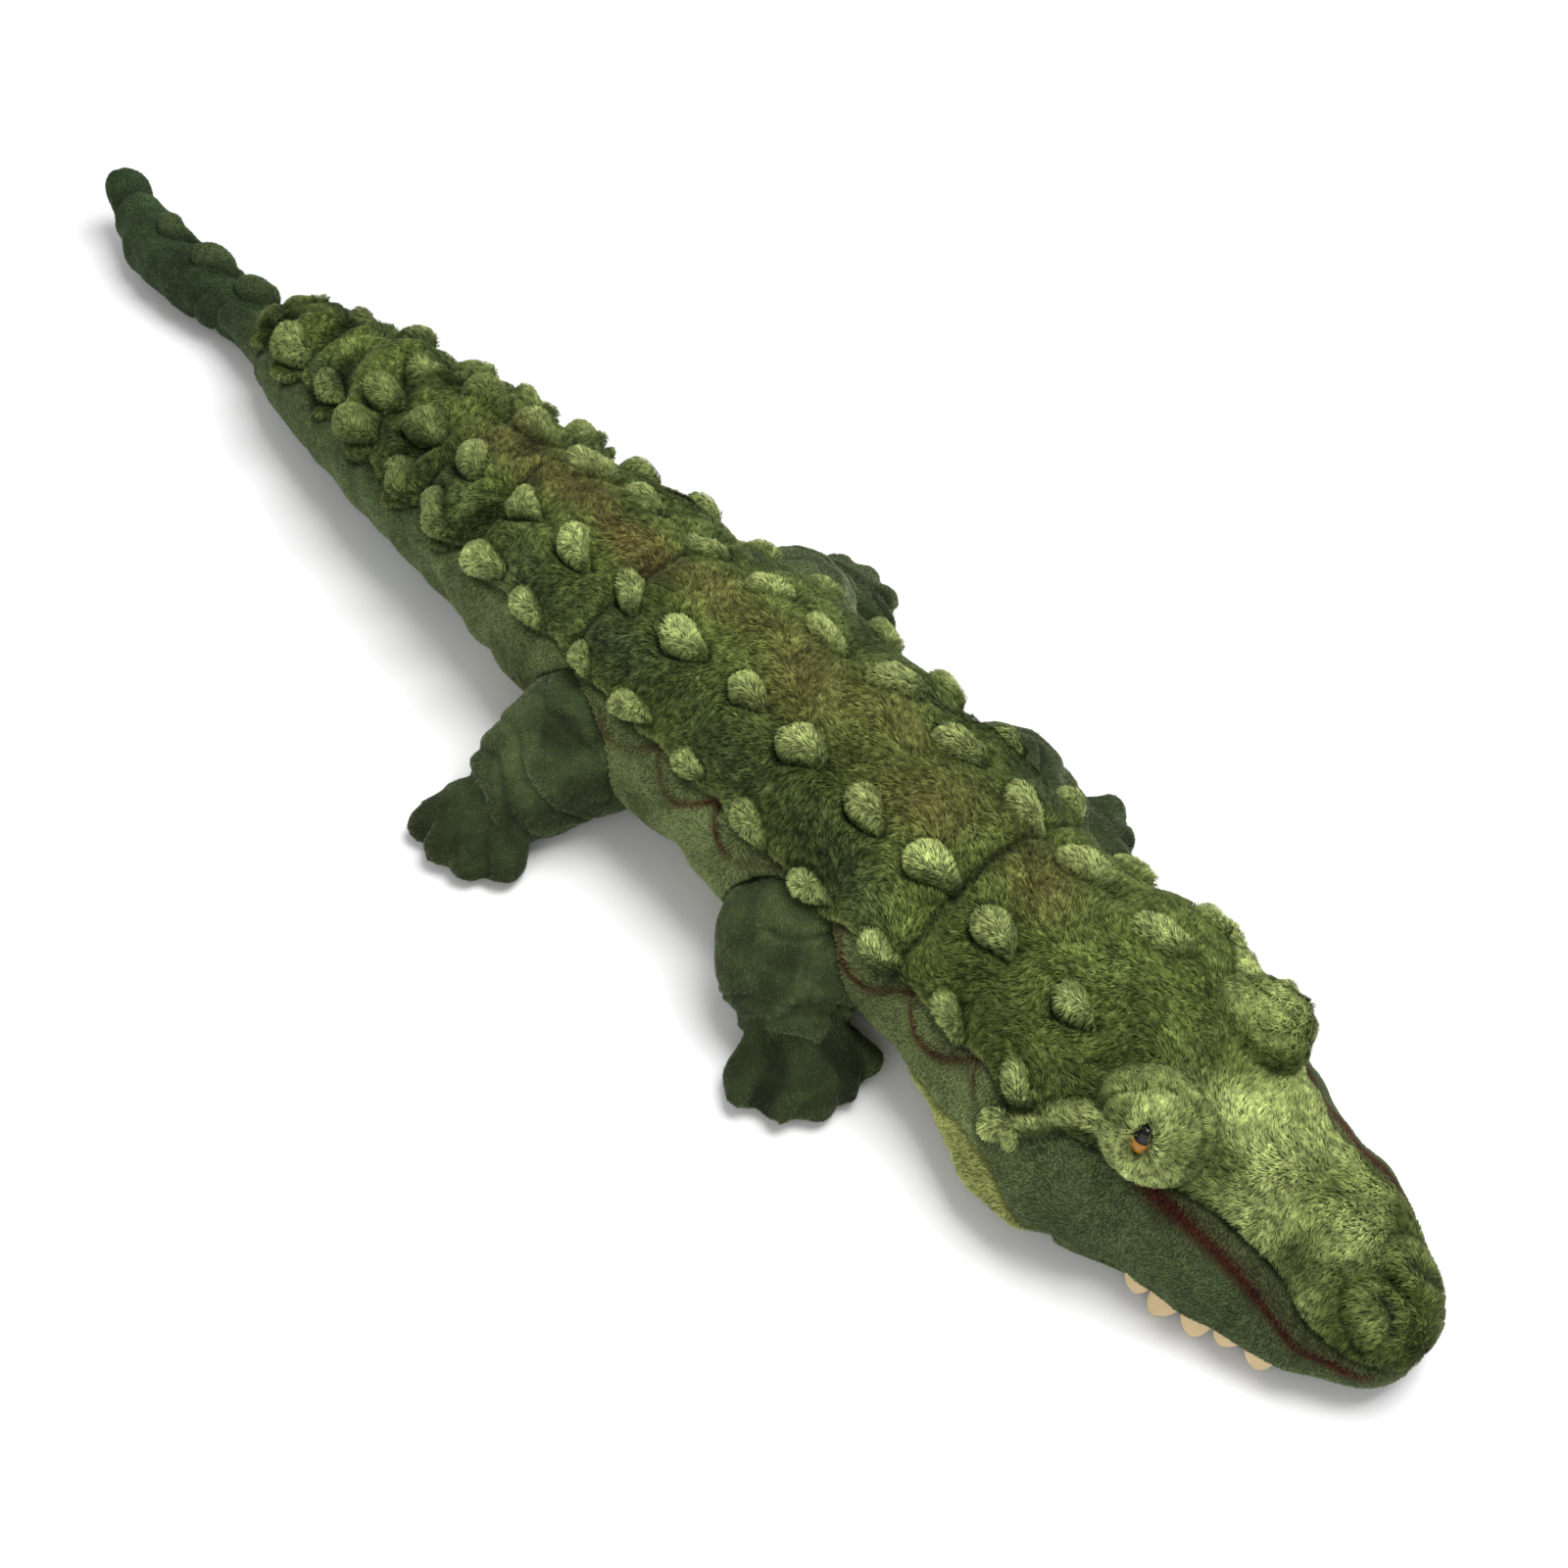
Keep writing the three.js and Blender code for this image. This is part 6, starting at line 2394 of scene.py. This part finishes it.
def stretches() -> list[Stretch]:
    """The body's skin in five stretches, each across one joint at most.

    Returns:
        The stretches from the tail's end to the snout.
    """
    return [
        Stretch(
            "tail_tip", TAIL_END_X, TIP_CUT, ("tail_mid", "tail_tip"), (TAIL_TIP_X + 16, TAIL_TIP_X - 12),
            ("tail_tip_skin", "tail_tip_stuffing"),
        ),
        Stretch(
            "tail_mid", TIP_CUT, MID_CUT, ("tail_root", "tail_mid"), (TAIL_MID_X + 20, TAIL_MID_X - 20),
            ("tail_mid_skin", "tail_mid_back", "tail_mid_stuffing"),
        ),
        Stretch(
            "tail_root", MID_CUT, ROOT_CUT, ("torso", "tail_root"), (-RUMP_REACH + 24, -RUMP_REACH - 24),
            ("tail_root_skin", "tail_root_back", "tail_root_stuffing"),
        ),
        Stretch(
            "torso", ROOT_CUT, HEAD_CUT, ("torso",), (0, 0),
            ("back_panel", "belly_panel", "flank_left", "flank_right", "torso_stuffing"),
        ),
        Stretch(
            "head", HEAD_CUT, SNOUT_X, ("torso", "head"), (SHOULDER_REACH - 22, SHOULDER_REACH + 22),
            ("head_top_panel", "head_side_left", "head_side_right", "throat_panel", "head_stuffing"),
        ),
    ]


def main() -> None:
    """Builds the crocodile round its frame, and the studio."""
    logging.basicConfig(level=logging.INFO, format="%(name)s: %(message)s")
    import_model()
    Studio().build()
    wardrobe = Wardrobe()
    form = body_form()
    hide = Hide(form, scute_rows(form))
    for n, stretch in enumerate(stretches()):
        stretch.build(hide, wardrobe, BODY_SEED + 10 * n)
    for n, leg in enumerate(LEGS):
        leg.build(wardrobe, LEG_SEED + n)
    ear = form.place(np.array([EAR_X]), np.array([math.radians(EAR_ANGLE)]), 0.0)[0]
    for n, mound in enumerate(MOUNDS):
        mound.build(wardrobe, MOUND_SEED + n)
        EarFlap(mound.side, tuple(ear)).build(wardrobe, EAR_SEED + n)
    Mouth(form).build(wardrobe, JAW_SEED)
    bpy.context.scene.view_settings.view_transform = "Standard"


if __name__ == "__main__":
    main()
